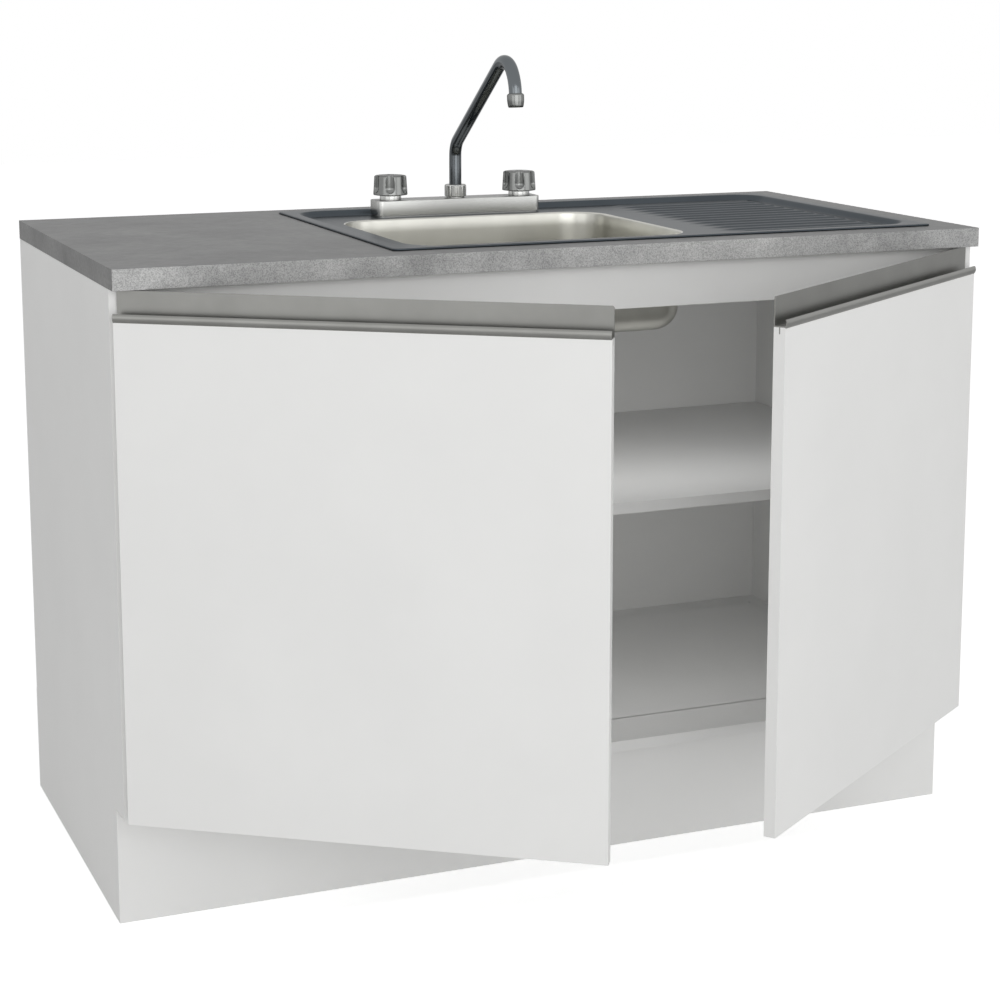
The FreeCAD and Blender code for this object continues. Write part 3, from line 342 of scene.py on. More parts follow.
@dataclass(frozen=True)
class MetalFinish:
    """A metal with fine brushing along one axis."""

    name: str
    colour: Colour
    roughness: float
    brushing: Sequence[float] = (30.0, 900.0, 900.0)
    brushed: float = 0.05
    edge_tint: float = 1.0

    def material(self) -> bpy.types.Material:
        """The finish's material."""
        tree = Tree(self.name)
        lines = tree.noise(1.0, 3.0, 0.6, tree.stretched(self.brushing))
        clouds = tree.noise(12.0, 3.0)
        tree.colour(tree.ramp(clouds, [(0.35, shaded(self.colour, 0.94)),
                                       (0.65, shaded(self.colour, 1.06))]))
        tree.roughness(tree.spread(lines, max(0.03, self.roughness - self.brushed),
                                   self.roughness + self.brushed))
        tree.set(Metallic=1.0, Specular_Tint=(self.edge_tint,) * 3 + (1.0,))
        return tree.material


@dataclass(frozen=True)
class SoftFinish:
    """Rubber, foam or moulded plastic with a fine matt grain."""

    name: str
    colour: Colour
    roughness: float = 0.7
    grain: float = 1500.0

    def material(self) -> bpy.types.Material:
        """The finish's material."""
        tree = Tree(self.name)
        fine = tree.noise(self.grain, 2.0)
        tree.colour(tree.ramp(fine, [(0.3, self.colour), (0.7, shaded(self.colour, 1.15))]))
        tree.roughness(tree.spread(fine, self.roughness - 0.08, self.roughness + 0.08))
        tree.bump(fine, 0.00003, 0.4)
        return tree.material


SLATE_STEEL = MetalFinish("slate_steel", (0.063, 0.073, 0.082), 0.34,
                          brushing=(25.0, 1200.0, 1200.0), brushed=0.04, edge_tint=0.70)
BOWL_STEEL = MetalFinish("bowl_steel", (0.56, 0.555, 0.515), 0.29,
                         brushing=(1200.0, 1200.0, 40.0), brushed=0.012, edge_tint=0.8)
TAP_CHROME = MetalFinish("satin_chrome", (0.50, 0.503, 0.49), 0.22, brushed=0.02,
                         edge_tint=0.40)
# painted shade: the tap's chrome painted darker on the knobs, aerator collar and knob screws,
# standing for their darker reflections and shade
KNOB_CHROME_PAINTED_SHADE = MetalFinish("knob_chrome_painted_shade", (0.21, 0.215, 0.21), 0.18, brushed=0.02,
                          edge_tint=0.35)
# painted shade: the tap's chrome painted darker on the spout, standing for the spout's darker
# reflections
SPOUT_CHROME_PAINTED_SHADE = MetalFinish("spout_chrome_painted_shade", (0.135, 0.147, 0.155), 0.13, brushed=0.01,
                           edge_tint=0.8)
HANDLE_ALUMINIUM = MetalFinish("anodised_aluminium", (0.25, 0.25, 0.238), 0.38,
                               brushing=(20.0, 20.0, 1500.0), brushed=0.05)
HINGE_NICKEL = MetalFinish("nickel_plate", (0.55, 0.55, 0.54), 0.28, brushed=0.04)
ZINC_PLATE = MetalFinish("zinc_plate", (0.50, 0.51, 0.53), 0.36, brushed=0.06)
WASTE_STEEL = MetalFinish("polished_steel", (0.52, 0.52, 0.51), 0.18, brushed=0.04)
PLAIN_BRASS = MetalFinish("turned_brass", (0.62, 0.44, 0.17), 0.30, brushed=0.06)
SEAL_RUBBER = SoftFinish("black_rubber", (0.025, 0.025, 0.025))
WASTE_PLASTIC = SoftFinish("white_plastic", (0.62, 0.62, 0.60), 0.45)
AERATOR_MOUTH = SoftFinish("black_mouth", (0.008, 0.008, 0.008), 0.6)


class Paint:
    """Makes each finish's material once and hands it out."""

    def __init__(self) -> None:
        """Starts with no material made."""
        self.made: dict[str, bpy.types.Material] = {}

    def of(self, finish: object) -> bpy.types.Material:
        """The material of a finish.

        Args:
            finish: one of the finish objects.

        Returns:
            The one material that this finish has.
        """
        if finish.name not in self.made:
            self.made[finish.name] = finish.material()
        return self.made[finish.name]


# --- Surfaces -------------------------------------------------------------------


class Surface:
    """Grids of points that are welded into one mesh piece."""

    def __init__(self) -> None:
        """Starts with no grid."""
        self.points: list[Array] = []
        self.faces: list[Array] = []
        self.slots: list[Array] = []
        self.count = 0

    def grid(self, points: Array, wrap: bool = False, slot: int = 0) -> "Surface":
        """Adds a grid of quads.

        Args:
            points: an array of rows by columns by 3.
            wrap: whether the last column joins the first.
            slot: the material slot of these faces.

        Returns:
            The surface itself.
        """
        rows, columns = points.shape[:2]
        index = np.arange(rows * columns).reshape(rows, columns) + self.count
        if wrap:
            index = np.hstack([index, index[:, :1]])
        quads = np.stack([index[:-1, :-1], index[:-1, 1:], index[1:, 1:], index[1:, :-1]],
                         axis=-1).reshape(-1, 4)
        self.points.append(points.reshape(-1, 3))
        self.faces.append(quads)
        self.slots.append(np.full(len(quads), slot))
        self.count += rows * columns
        return self

    def piece(self, name: str, materials: Sequence[bpy.types.Material],
              angle: float = 35.0, weld: float = 1e-6) -> bpy.types.Object:
        """Welds the grids into one object with smooth shading up to an angle.

        Args:
            name: the piece's name.
            materials: the materials of its slots.
            angle: edges sharper than this many degrees stay sharp.
            weld: points closer than this are merged.

        Returns:
            The object, in the scene.
        """
        mesh = bpy.data.meshes.new(name)
        mesh.from_pydata(np.vstack(self.points), [], np.vstack(self.faces).tolist())
        for material in materials:
            mesh.materials.append(material)
        mesh.polygons.foreach_set("material_index", np.concatenate(self.slots))
        work = bmesh.new()
        work.from_mesh(mesh)
        bmesh.ops.remove_doubles(work, verts=work.verts, dist=weld)
        bmesh.ops.dissolve_degenerate(work, edges=work.edges, dist=weld / 10)
        bmesh.ops.recalc_face_normals(work, faces=work.faces)
        work.to_mesh(mesh)
        work.free()
        mesh.shade_smooth()
        mesh.set_sharp_from_angle(angle=math.radians(angle))
        thing = bpy.data.objects.new(name, mesh)
        bpy.context.scene.collection.objects.link(thing)
        return thing


def joined(*parts: Array | float) -> Array:
    """Coordinates set side by side as points; a plain number serves for every point."""
    return np.stack(np.broadcast_arrays(*parts), axis=-1)


def turned(profile: Array, sides: int = 64, radius: Callable | None = None) -> Array:
    """A profile of (radius, height) carried round the Z axis.

    The point at column a and row k is (r cos A, r sin A, z), where A is a's share of a
    full turn and r is the profile's radius, or radius(r, z, A) where that is given.

    Args:
        profile: rows of radius and height.
        sides: the number of columns.
        radius: a function that reshapes the radius.

    Returns:
        A grid of rows by columns by 3, to be wrapped.
    """
    turn = np.linspace(0, 2 * math.pi, sides, endpoint=False)
    r, a = np.meshgrid(profile[:, 0], turn, indexing="ij")
    z = np.repeat(profile[:, 1:2], sides, axis=1)
    if radius:
        r = radius(r, z, a)
    return joined(r * np.cos(a), r * np.sin(a), z)


def arc(centre: Sequence[float], radius: float, start: float, end: float,
        steps: int = 8) -> Array:
    """Points on an arc in a plane: centre plus radius times (cos A, sin A), A in degrees."""
    turn = np.radians(np.linspace(start, end, steps))
    return np.array(centre) + radius * joined(np.cos(turn), np.sin(turn))


def carried(section: Array, path: Array, side: Sequence[float] = (1.0, 0.0, 0.0)) -> Array:
    """A closed section carried along a path that lies in one upright plane.

    At each path point the section's first number runs along side, and its second along the
    path's normal, which is side crossed with the path's direction.

    Args:
        section: points of (across, up).
        path: points in space.
        side: the plane's normal.

    Returns:
        A grid of path points by section points by 3, to be wrapped.
    """
    across = np.array(side)
    along = np.gradient(path, axis=0)
    along /= np.linalg.norm(along, axis=1, keepdims=True)
    up = np.cross(across, along)
    return (path[:, None, :] + section[None, :, :1] * across
            + section[None, :, 1:] * up[:, None, :])


def moved(points: Array, place: Sequence[float]) -> Array:
    """Points shifted by a vector."""
    return points + np.array(place)


def rounded_ring(half: Sequence[float], inset: float, radius: float, z: float,
                 steps: int = 12) -> Array:
    """A rounded rectangle about the origin.

    Args:
        half: half of its length and half of its width.
        inset: how far it is drawn in.
        radius: its corner radius.
        z: its height.
        steps: the points to a corner.

    Returns:
        The closed loop's points.
    """
    turn = np.radians(np.linspace(0, 90, steps))
    loop = []
    for index, (sx, sy) in enumerate(((1, 1), (-1, 1), (-1, -1), (1, -1))):
        centre = (sx * (half[0] - inset - radius), sy * (half[1] - inset - radius))
        angle = turn + index * math.pi / 2
        loop.append(np.array(centre) + radius * joined(np.cos(angle), np.sin(angle)))
    points = np.concatenate(loop)
    return np.column_stack([points, np.full(len(points), z)])


def smooth_step(value: Array) -> Array:
    """Rises from 0 to 1 as 3t squared less 2t cubed, with t held between 0 and 1."""
    t = np.clip(value, 0.0, 1.0)
    return t * t * (3 - 2 * t)


# --- Sink -----------------------------------------------------------------------


@dataclass
class SinkShell:
    """The pressed sheet: skirt, rim, recessed deck, ribbed drainer and bowl."""

    paint: Paint
    rim_height: float = 0.003
    rim_corner: float = 0.008
    rim_edge: float = 0.0013
    slope_edge: float = 0.002
    rim_band: float = 0.017
    slope: float = 0.009
    recess_drop: float = 0.008
    recess_corner: float = 0.036
    bowl_left: float = -0.176
    bowl_front: float = -0.192
    bowl_width: float = 0.400
    bowl_depth: float = 0.342
    bowl_corner: float = 0.055
    bowl_drop: float = 0.134
    lip: float = 0.0028
    floor_fillet: float = 0.030
    floor_fall: float = 0.0015
    draft: float = 0.004
    waste_radius: float = 0.0445
    rib_gap: float = 0.044
    rib_end_gap: float = 0.026
    rib_pitch: float = 0.030
    rib_first: float = 0.042
    rib_half: float = 0.0062
    rib_height: float = 0.0021
    rib_fade: float = 0.040
    sheet: float = 0.0008
    corner_steps: int = 14
    side_steps: int = 60

    def __post_init__(self) -> None:
        """Works out the shared heights and outlines from the frame."""
        low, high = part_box("sink")
        self.left, self.front = low.x, low.y
        self.right, self.back = high.x, high.y
        self.top = high.z
        self.skirt = high.z - self.rim_height
        self.deck = high.z - self.recess_drop
        inset = self.rim_band + self.slope
        self.xa, self.xb = self.left + inset, self.right - inset
        self.ya, self.yb = self.front + inset, self.back - inset
        self.split = self.bowl_left + self.bowl_width + self.rib_gap / 2
        self.angles = np.linspace(0, math.pi / 2, self.corner_steps)
        self.rows = self._drainer_rows()
        self.columns = self._drainer_columns()

    def _drainer_rows(self) -> Array:
        """Y places of the drainer's rows: both corners' arcs and ten to each rib."""
        radius = self.recess_corner
        bend = radius * (1 - np.cos(self.angles))
        first, last = self.front + self.rib_first, self.back - self.rib_first
        count = int(round((last - first) / self.rib_pitch)) + 1
        start = (first + last - (count - 1) * self.rib_pitch) / 2
        self.ribs = start + np.arange(count) * self.rib_pitch
        across = np.linspace(-1, 1, 9) * self.rib_half
        inner = (self.ribs[:, None] + across[None, :]).ravel()
        keep = (inner > self.ya + radius) & (inner < self.yb - radius)
        flat = np.concatenate([inner[keep], (self.ribs[:-1] + self.ribs[1:]) / 2])
        flat = flat[(flat > self.ya + radius) & (flat < self.yb - radius)]
        rows = np.concatenate([self.ya + bend, flat, self.yb - bend])
        return np.unique(np.round(rows, 6))

    def _drainer_columns(self) -> Array:
        """Shares of the drainer's length, closer together where the ribs end."""
        plain = np.linspace(0, 0.09, 3)[:-1]
        fade = np.linspace(0.09, 0.26, 12)[:-1]
        body = np.linspace(0.26, 0.90, 10)[:-1]
        tail = np.linspace(0.90, 1.0, 12)
        return np.concatenate([plain, fade, body, tail])

    def _corner_shares(self) -> tuple[Array, Array, Array]:
        """The right side's samples as angles and shares of the straight between them."""
        radius = self.recess_corner
        straight = self.yb - self.ya - 2 * radius
        low = self.rows[self.rows < self.ya + radius + 1e-7]
        high = self.rows[self.rows > self.yb - radius - 1e-7]
        mid = self.rows[(self.rows > self.ya + radius + 1e-7)
                        & (self.rows < self.yb - radius - 1e-7)]
        first = np.arccos(np.clip(1 - (low - self.ya) / radius, -1, 1))
        last = np.arccos(np.clip(1 - (self.yb - high) / radius, -1, 1))
        return first, (mid - self.ya - radius) / straight, last

    def outline(self, grow: float, radius: float, z: float) -> Array:
        """A rounded rectangle round the deck, anticlockwise from the split at the back.

        Each straight holds the same shares of its length, and each corner the same angles,
        whatever the growth and radius are, so that two outlines match point by point.

        Args:
            grow: how far it stands outside the deck's edge.
            radius: its corner radius.
            z: its height.

        Returns:
            The closed loop's points.
        """
        x0, x1 = self.xa - grow, self.xb + grow
        y0, y1 = self.ya - grow, self.yb + grow
        share = np.linspace(0, 1, self.side_steps)
        over, on = radius * np.sin(self.angles), radius * np.cos(self.angles)
        back = joined(self.split + (x0 + radius - self.split) * share, y1)
        back_left = joined(x0 + radius - over, y1 - radius + on)
        left = joined(x0, y1 - radius + (y0 - y1 + 2 * radius) * share)
        front_left = joined(x0 + radius - on, y0 + radius - over)
        front = joined(x0 + radius + (self.split - x0 - radius) * share, y0)
        run = self.split + (x1 - radius - self.split) * self.columns
        first, mid, last = self._corner_shares()
        rise = np.concatenate([
            joined(x1 - radius + radius * np.sin(first), y0 + radius - radius * np.cos(first)),
            joined(x1, y0 + radius + (y1 - y0 - 2 * radius) * mid),
            joined(x1 - radius + radius * np.sin(last), y1 - radius + radius * np.cos(last))])
        loop = np.concatenate([back, back_left[1:], left[1:], front_left[1:], front[1:],
                               joined(run, y0)[1:], rise[1:], joined(run[::-1], y1)[1:-1]])
        return np.column_stack([loop, np.full(len(loop), z)])

    def mouth(self, inset: float, radius: float, z: float) -> Array:
        """The bowl's outline, matched to the left deck's outline point by point.

        It starts at the middle of the back right corner and runs anticlockwise. The right
        side takes its samples by the drainer rows' share of their own length.

        Args:
            inset: how far it lies inside the bowl's edge.
            radius: its corner radius.
            z: its height.

        Returns:
            The closed loop's points.
        """
        x0, x1 = self.bowl_left + inset, self.bowl_left + self.bowl_width - inset
        y0, y1 = self.bowl_front + inset, self.bowl_front + self.bowl_depth - inset
        half = self.corner_steps // 2
        share = np.linspace(0, 1, self.side_steps - half + 1)
        turn, bend = self.angles, np.linspace(0, math.pi / 4, half)
        plain = np.linspace(0, 1, self.side_steps)

        def corner(cx: float, cy: float, angle: Array) -> Array:
            return joined(cx + radius * np.cos(angle), cy + radius * np.sin(angle))

        cxr, cxl, cyb, cyf = x1 - radius, x0 + radius, y1 - radius, y0 + radius
        start = corner(cxr, cyb, math.pi / 4 + bend)
        back = joined(cxr + (cxl - cxr) * share, y1)
        back_left = corner(cxl, cyb, math.pi / 2 + turn)
        left = joined(x0, cyb + (cyf - cyb) * plain)
        front_left = corner(cxl, cyf, math.pi + turn)
        front = joined(cxl + (cxr - cxl) * share, y0)
        end = corner(cxr, cyf, 1.5 * math.pi + bend)
        bow = math.pi / 4 * radius
        total = 2 * bow + cyb - cyf
        along = (self.rows - self.rows[0]) / (self.rows[-1] - self.rows[0]) * total
        low = corner(cxr, cyf, -math.pi / 4 + along[along < bow] / radius)
        mid = along[(along >= bow) & (along <= total - bow)]
        side = joined(x1, cyf + mid - bow)
        high = corner(cxr, cyb, (along[along > total - bow] - total + bow) / radius)
        right = np.concatenate([low, side, high])
        loop = np.concatenate([start, back[1:], back_left[1:], left[1:], front_left[1:],
                               front[1:], end[1:], right[1:-1]])
        return np.column_stack([loop, np.full(len(loop), z)])

    def _rim_rings(self) -> Array:
        """Rings from the skirt's foot over the rim and down the slope to the deck."""
        outer = self.rim_band + self.slope
        edge = self.rim_edge
        foot = [(outer, self.rim_corner, z) for z in (self.skirt, self.top - edge)]
        bend = arc((outer - edge, self.top - edge), edge, 0, 90, 6)[1:]
        rings = foot + [(grow, self.rim_corner - outer + grow, z) for grow, z in bend]
        inner = self.recess_corner + self.slope
        for share in np.linspace(0, 1, 6)[1:]:
            grow = outer - edge + (self.slope + self.slope_edge - outer + edge) * share
            radius = self.rim_corner - edge + (inner + self.slope_edge
                                               - self.rim_corner + edge) * share
            rings.append((grow, radius, self.top))
        for share in np.linspace(0, 1, 12)[1:]:
            grow = (self.slope + self.slope_edge) * (1 - share)
            z = self.top - self.recess_drop * smooth_step(share)
            rings.append((grow, self.recess_corner + grow, float(z)))
        return np.stack([self.outline(*ring) for ring in rings])

    def _deck_rings(self, outer: Array, inner: Array) -> Array:
        """Straight lines between the deck's left outline and the bowl's edge."""
        share = np.linspace(0, 1, 7)[:, None, None]
        return outer[None] * (1 - share) + inner[None] * share

    def _drainer(self) -> Array:
        """The drainer's grid.

        Each rib is the set of points near its middle line: the height is the rib's height
        times one less the squared share of the distance, squared, and it fades in from the
        bowl's side as a smooth step.
        """
        y = np.repeat(self.rows[:, None], len(self.columns), axis=1)
        radius = self.recess_corner
        over = np.maximum(0, np.maximum(self.ya + radius - y, y - self.yb + radius))
        end = self.xb - radius + np.sqrt(np.maximum(0, radius ** 2 - over ** 2))
        x = self.split + (end - self.split) * self.columns[None, :]
        start = self.bowl_left + self.bowl_width + self.rib_gap
        stop = self.right - self.rib_end_gap - self.slope
        z = np.full_like(x, self.deck)
        for middle in self.ribs:
            beyond = np.maximum(0, x - stop + self.rib_half)
            away = np.hypot(y - middle, beyond) / self.rib_half
            bulge = np.where(away < 1, (1 - np.minimum(away, 1) ** 2) ** 2, 0)
            z += self.rib_height * bulge * smooth_step((x - start) / self.rib_fade)
        return joined(x, y, z)

    def _bowl_rings(self) -> Array:
        """Rings from the bowl's rolled edge down the walls and over the floor."""
        floor = self.deck - self.bowl_drop
        roll = np.linspace(0, 1, 7)
        rings = [(self.lip * (share - 1), self.bowl_corner + self.lip * (1 - share),
                  self.deck - self.lip + self.lip * math.sqrt(1 - share ** 2))
                 for share in roll]
        high, low = self.deck - self.lip, floor + self.floor_fillet + self.floor_fall
        for share in np.linspace(0, 1, 7)[1:]:
            rings.append((self.draft * share, self.bowl_corner - self.draft * share,
                          high + (low - high) * share))
        bend = np.radians(np.linspace(0, 90, 12))[1:]
        for angle in bend:
            inset = self.draft + self.floor_fillet * (1 - math.cos(angle))
            rings.append((inset, self.bowl_corner - inset,
                          low - self.floor_fillet * math.sin(angle)))
        stack = [self.mouth(*ring) for ring in rings]
        edge = stack[-1]
        centre = np.array([self.bowl_left + self.bowl_width / 2,
                           self.bowl_front + self.bowl_depth / 2, floor])
        toward = edge - centre
        flat = np.hypot(toward[:, 0], toward[:, 1])[:, None]
        circle = centre + toward / flat * self.waste_radius
        circle[:, 2] = floor
        for share in np.linspace(0, 1, 12)[1:]:
            ring = edge * (1 - share) + circle * share
            ring[:, 2] = floor + self.floor_fall * (1 - share) ** 2
            stack.append(ring)
        return np.stack(stack)

    def build(self) -> bpy.types.Object:
        """Makes the sheet and gives it its thickness."""
        rim = self._rim_rings()
        bowl = self._bowl_rings()
        inner = rim[-1]
        bend = 2 * (self.corner_steps - 1)
        left = inner[:3 * self.side_steps - 2 + bend]
        line = np.column_stack([np.full(len(self.rows), self.split), self.rows,
                                np.full(len(self.rows), self.deck)])
        outer = np.concatenate([left, line[1:-1]])
        surface = Surface()
        surface.grid(rim, wrap=True)
        surface.grid(self._deck_rings(outer, bowl[0]), wrap=True)
        surface.grid(self._drainer())
        surface.grid(bowl, wrap=True, slot=1)
        piece = surface.piece("pressed_sink", [self.paint.of(SLATE_STEEL),
                                               self.paint.of(BOWL_STEEL)], 50.0, 2e-6)
        upward = sum(p.normal.z * p.area for p in piece.data.polygons)
        if upward < 0:
            piece.data.flip_normals()
        thick = piece.modifiers.new("sheet", "SOLIDIFY")
        thick.thickness = self.sheet
        thick.offset = -1.0
        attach(piece, Body.CABINET.value)
        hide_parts("sink")
        LOG.info("pressed sink: %d faces", len(piece.data.polygons))
        return piece


# --- Tap ------------------------------------------------------------------------


@dataclass
class Tap:
    """The bridge tap: body, knobs, swivel spout, nut and aerator."""

    paint: Paint
    knob_radius: float = 0.025
    crown_radius: float = 0.0234
    knob_height: float = 0.029
    flutes: int = 6
    flute_radius: float = 0.009
    flute_reach: float = 0.029
    flute_foot: float = 0.011
    knob_turn: float = -20.0
    spout_radius: float = 0.009
    spout_foot: float = 0.0038
    tip: float = 0.007
    riser: float = 0.101
    run: float = 0.243
    rise: float = 35.0
    elbow: float = 0.030
    crown: float = 0.034
    fall: float = 0.054
    drop: float = 50.0
    tilt: float = 5.0
    bar_height: float = 0.024
    nut_radius: float = 0.016
    nut_flutes: int = 12
    nut_cutter: float = 0.002
    nut_cut: float = 0.0008

    def __post_init__(self) -> None:
        """Finds the tap's middle and deck height from the frame."""
        low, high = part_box("tap_body")
        self.middle = (low + high) / 2
        self.deck = low.z
        self.nut_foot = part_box("spout_nut")[0].z - self.deck

    def _place(self, piece: bpy.types.Object, body: Body,
               node: str) -> bpy.types.Object:
        """Declares a piece's body and the node that it stands for."""
        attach(piece, body.value)
        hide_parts(node)
        LOG.info("%s stands for %s", piece.name, node)
        return piece

    def _seat(self, node: str) -> tuple[float, float, float]:
        """The middle of a node's foot."""
        low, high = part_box(node)
        return (low.x + high.x) / 2, (low.y + high.y) / 2, low.z

    def _knob_radius(self, r: Array, z: Array, a: Array) -> Array:
        """The knob's radius, cut back where a flute's cutter reaches it.

        The cutter is an upright cylinder with a ball end. Its near side lies at d cos A less
        the root of r squared less (d sin A) squared, where d is its distance from the axis
        and A the angle from its own. The two radii are blended over a small edge.
        """
        pitch = 2 * math.pi / self.flutes
        facing = math.radians(self.knob_turn) - math.pi / 2
        off = (a - facing + pitch / 2) % pitch - pitch / 2
        below = np.clip(self.flute_foot - z, 0, self.flute_radius)
        reach = np.sqrt(np.maximum(self.flute_radius ** 2 - below ** 2, 0))
        inside = reach ** 2 - (self.flute_reach * np.sin(off)) ** 2
        near = self.flute_reach * np.cos(off) - np.sqrt(np.maximum(inside, 0))
        cut = np.where((inside > 0) & (z > self.flute_foot - self.flute_radius), near, 1.0)
        edge = 0.0003
        soft = np.maximum(edge - np.abs(r - cut), 0) / edge
        return np.minimum(r, cut) - soft ** 2 * edge / 4

    def knob(self, side: Side) -> bpy.types.Object:
        """One fluted knob with a chamfered crown and a recess for its screw."""
        place = self._seat(f"{side.word}_knob")
        radius, top, crown = self.knob_radius, self.knob_height, self.crown_radius
        base = arc((radius - 0.0008, 0.0008), 0.0008, -90, 0, 5)
        wall = np.linspace((radius, 0.0008), (crown, top - 0.0022), 44)
        cap = np.array([(crown - 0.0004, top - 0.0017), (crown - 0.0018, top - 0.0008),
                        (crown - 0.0026, top - 0.0006), (0.018, top - 0.0004),
                        (0.010, top - 0.0001), (0.0040, top), (0.0036, top - 0.0002),
                        (0.0034, top - 0.003), (0.0001, top - 0.003)])
        under = np.array([(0.0046, 0.0), (radius - 0.0008, 0.0)])
        profile = np.concatenate([under, base, wall, cap])
        surface = Surface().grid(moved(turned(profile, 240, self._knob_radius), place), True)
        piece = surface.piece(f"{side.word}_fluted_knob", [self.paint.of(KNOB_CHROME_PAINTED_SHADE)], 28.0)
        body = Body.LEFT_KNOB if side is Side.LEFT else Body.RIGHT_KNOB
        return self._place(piece, body, f"{side.word}_knob")

    def spout_line(self) -> Array:
        """The spout's centre line: an upright foot, an elbow, a straight rise and a crook.

        Each bend is an arc tangent to the stretches beside it.
        """
        rise, drop = math.radians(self.rise), math.radians(self.drop)
        last = math.pi / 2 - math.radians(self.tilt)
        along = np.array([-math.cos(rise), math.sin(rise)])
        bend = np.array([0.0, self.riser])
        turn = math.pi / 2 - rise
        cut = self.elbow * math.tan(turn / 2)
        start = bend - (0.0, cut)
        elbow = arc((-self.elbow, start[1]), self.elbow, 0, math.degrees(turn), 14)
        crown_cut = self.crown * math.tan((rise + drop) / 2)
        crown_start = bend + along * self.run - along * crown_cut
        centre = crown_start - np.array([math.sin(rise), math.cos(rise)]) * self.crown
        crown = arc(centre, self.crown, 90 - self.rise, 90 + self.drop, 20)
        centre = crown[-1] - np.array([-math.sin(drop), math.cos(drop)]) * self.fall
        fall = arc(centre, self.fall, 90 + self.drop, 90 + math.degrees(last), 12)
        foot = np.linspace((0.0, self.spout_foot), start, 6)[:-1]
        straight = np.linspace(elbow[-1], crown[0], 10)[1:-1]
        heading = np.array([-math.cos(last), -math.sin(last)])
        tip = np.linspace(fall[-1], fall[-1] + heading * self.tip, 3)[1:]
        line = np.concatenate([foot, elbow, straight, crown, fall[1:], tip])
        return np.column_stack([np.zeros(len(line)), line])

    def spout(self) -> bpy.types.Object:
        """The round tube swept along its centre line, closed at both ends."""
        line = self.spout_line()
        turn = np.linspace(0, 2 * math.pi, 48, endpoint=False)
        ring = joined(np.cos(turn), np.sin(turn)) * self.spout_radius
        tube = carried(ring, line)
        ends = [np.repeat(tube[i:i + 1].mean(axis=1, keepdims=True), 48, axis=1)
                for i in (0, -1)]
        tube = np.concatenate([ends[0], tube, ends[1]])
        place = (self.middle.x, self.middle.y, self.deck)
        surface = Surface().grid(moved(tube, place), True)
        piece = surface.piece("swivel_spout", [self.paint.of(SPOUT_CHROME_PAINTED_SHADE)], 45.0)
        return self._place(piece, Body.SPOUT, "spout")

    def aerator(self) -> bpy.types.Object:
        """The nozzle's collar, turned about the spout's last direction."""
        line = self.spout_line()
        heading = line[-1] - line[-2]
        heading /= np.linalg.norm(heading)
        profile = np.array([(0.0090, 0.0), (0.0098, 0.0), (0.0110, 0.0009), (0.0117, 0.0020),
                            (0.0118, 0.0030), (0.0118, 0.0088), (0.0115, 0.0122),
                            (0.0110, 0.0155), (0.0107, 0.0172), (0.0103, 0.0184),
                            (0.0096, 0.0190), (0.0088, 0.0190), (0.0084, 0.0186),
                            (0.0083, 0.0168), (0.0004, 0.0160)])
        mouth = 12
        side = np.array([1.0, 0.0, 0.0])
        up = np.cross(heading, side)
        grid = turned(profile, 64)
        grid = (grid[..., :1] * side + grid[..., 1:2] * up + grid[..., 2:] * heading)
        start = line[-1] - heading * (self.tip - 0.0003)
        grid = moved(grid + start, (self.middle.x, self.middle.y, self.deck))
        surface = Surface().grid(grid[:mouth + 1], True)
        surface.grid(grid[mouth:], True, slot=1)
        piece = surface.piece("spout_aerator", [self.paint.of(KNOB_CHROME_PAINTED_SHADE),
                                                self.paint.of(AERATOR_MOUTH)], 40.0)
        return self._place(piece, Body.SPOUT, "aerator")

    def body(self) -> bpy.types.Object:
        """The cast bar: round plan corners, a small edge and a narrower foot."""
        low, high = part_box("tap_body")
        half = ((high.x - low.x) / 2, (high.y - low.y) / 2)
        foot, corner, edge, top = 0.002, 0.008, 0.0014, self.bar_height
        rings = [(foot, corner - foot, 0.0), (foot, corner - foot, foot),
                 (0.0004, corner, foot), (0.0, corner, foot + 0.0004),
                 (0.0, corner, top - edge)]
        bend = arc((edge, top - edge), edge, 180, 90, 6)[1:]
        rings += [(inset, corner - inset, z) for inset, z in bend]
        rings += [(0.004, corner - 0.004, top), (0.0078, 0.0003, top)]
        stack = np.stack([rounded_ring(half, *ring) for ring in rings])
        cap = stack[-1:].copy()
        cap[..., 0] = np.clip(cap[..., 0], half[1] - half[0], half[0] - half[1])
        cap[..., 1] = 0.0
        place = (self.middle.x, self.middle.y, self.deck)
        surface = Surface().grid(moved(np.concatenate([stack, cap]), place), True)
        boss = np.array([(0.0128, top - 0.002), (0.0128, self.nut_foot - 0.0001),
                         (0.0, self.nut_foot - 0.0001)])
        surface.grid(moved(turned(boss, 48), place), True)
        piece = surface.piece("tap_bar", [self.paint.of(TAP_CHROME)], 30.0)
        return self._place(piece, Body.CABINET, "tap_body")

    def bonnet(self, side: Side) -> bpy.types.Object:
        """The round collar under one knob."""
        low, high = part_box(f"{side.word}_valve_bonnet")
        place = self._seat(f"{side.word}_valve_bonnet")
        radius, top = (high.x - low.x) / 2, high.z - low.z
        profile = np.concatenate([[(0.005, 0.0), (radius, 0.0)],
                                  arc((radius - 0.0006, top - 0.0006), 0.0006, 0, 90, 4),
                                  [(0.005, top)]])
        surface = Surface().grid(moved(turned(profile, 64), place), True)
        piece = surface.piece(f"{side.word}_bonnet_collar", [self.paint.of(TAP_CHROME)], 30.0)
        return self._place(piece, Body.CABINET, f"{side.word}_valve_bonnet")

    def _nut_radius(self, r: Array, z: Array, a: Array) -> Array:
        """The nut's radius, scalloped by a ring of small round cutters."""
        pitch = 2 * math.pi / self.nut_flutes
        off = a % pitch - pitch / 2
        reach = self.nut_radius + self.nut_cutter - self.nut_cut
        inside = self.nut_cutter ** 2 - (reach * np.sin(off)) ** 2
        near = reach * np.cos(off) - np.sqrt(np.maximum(inside, 0))
        return np.where(inside > 0, np.minimum(r, near), r)

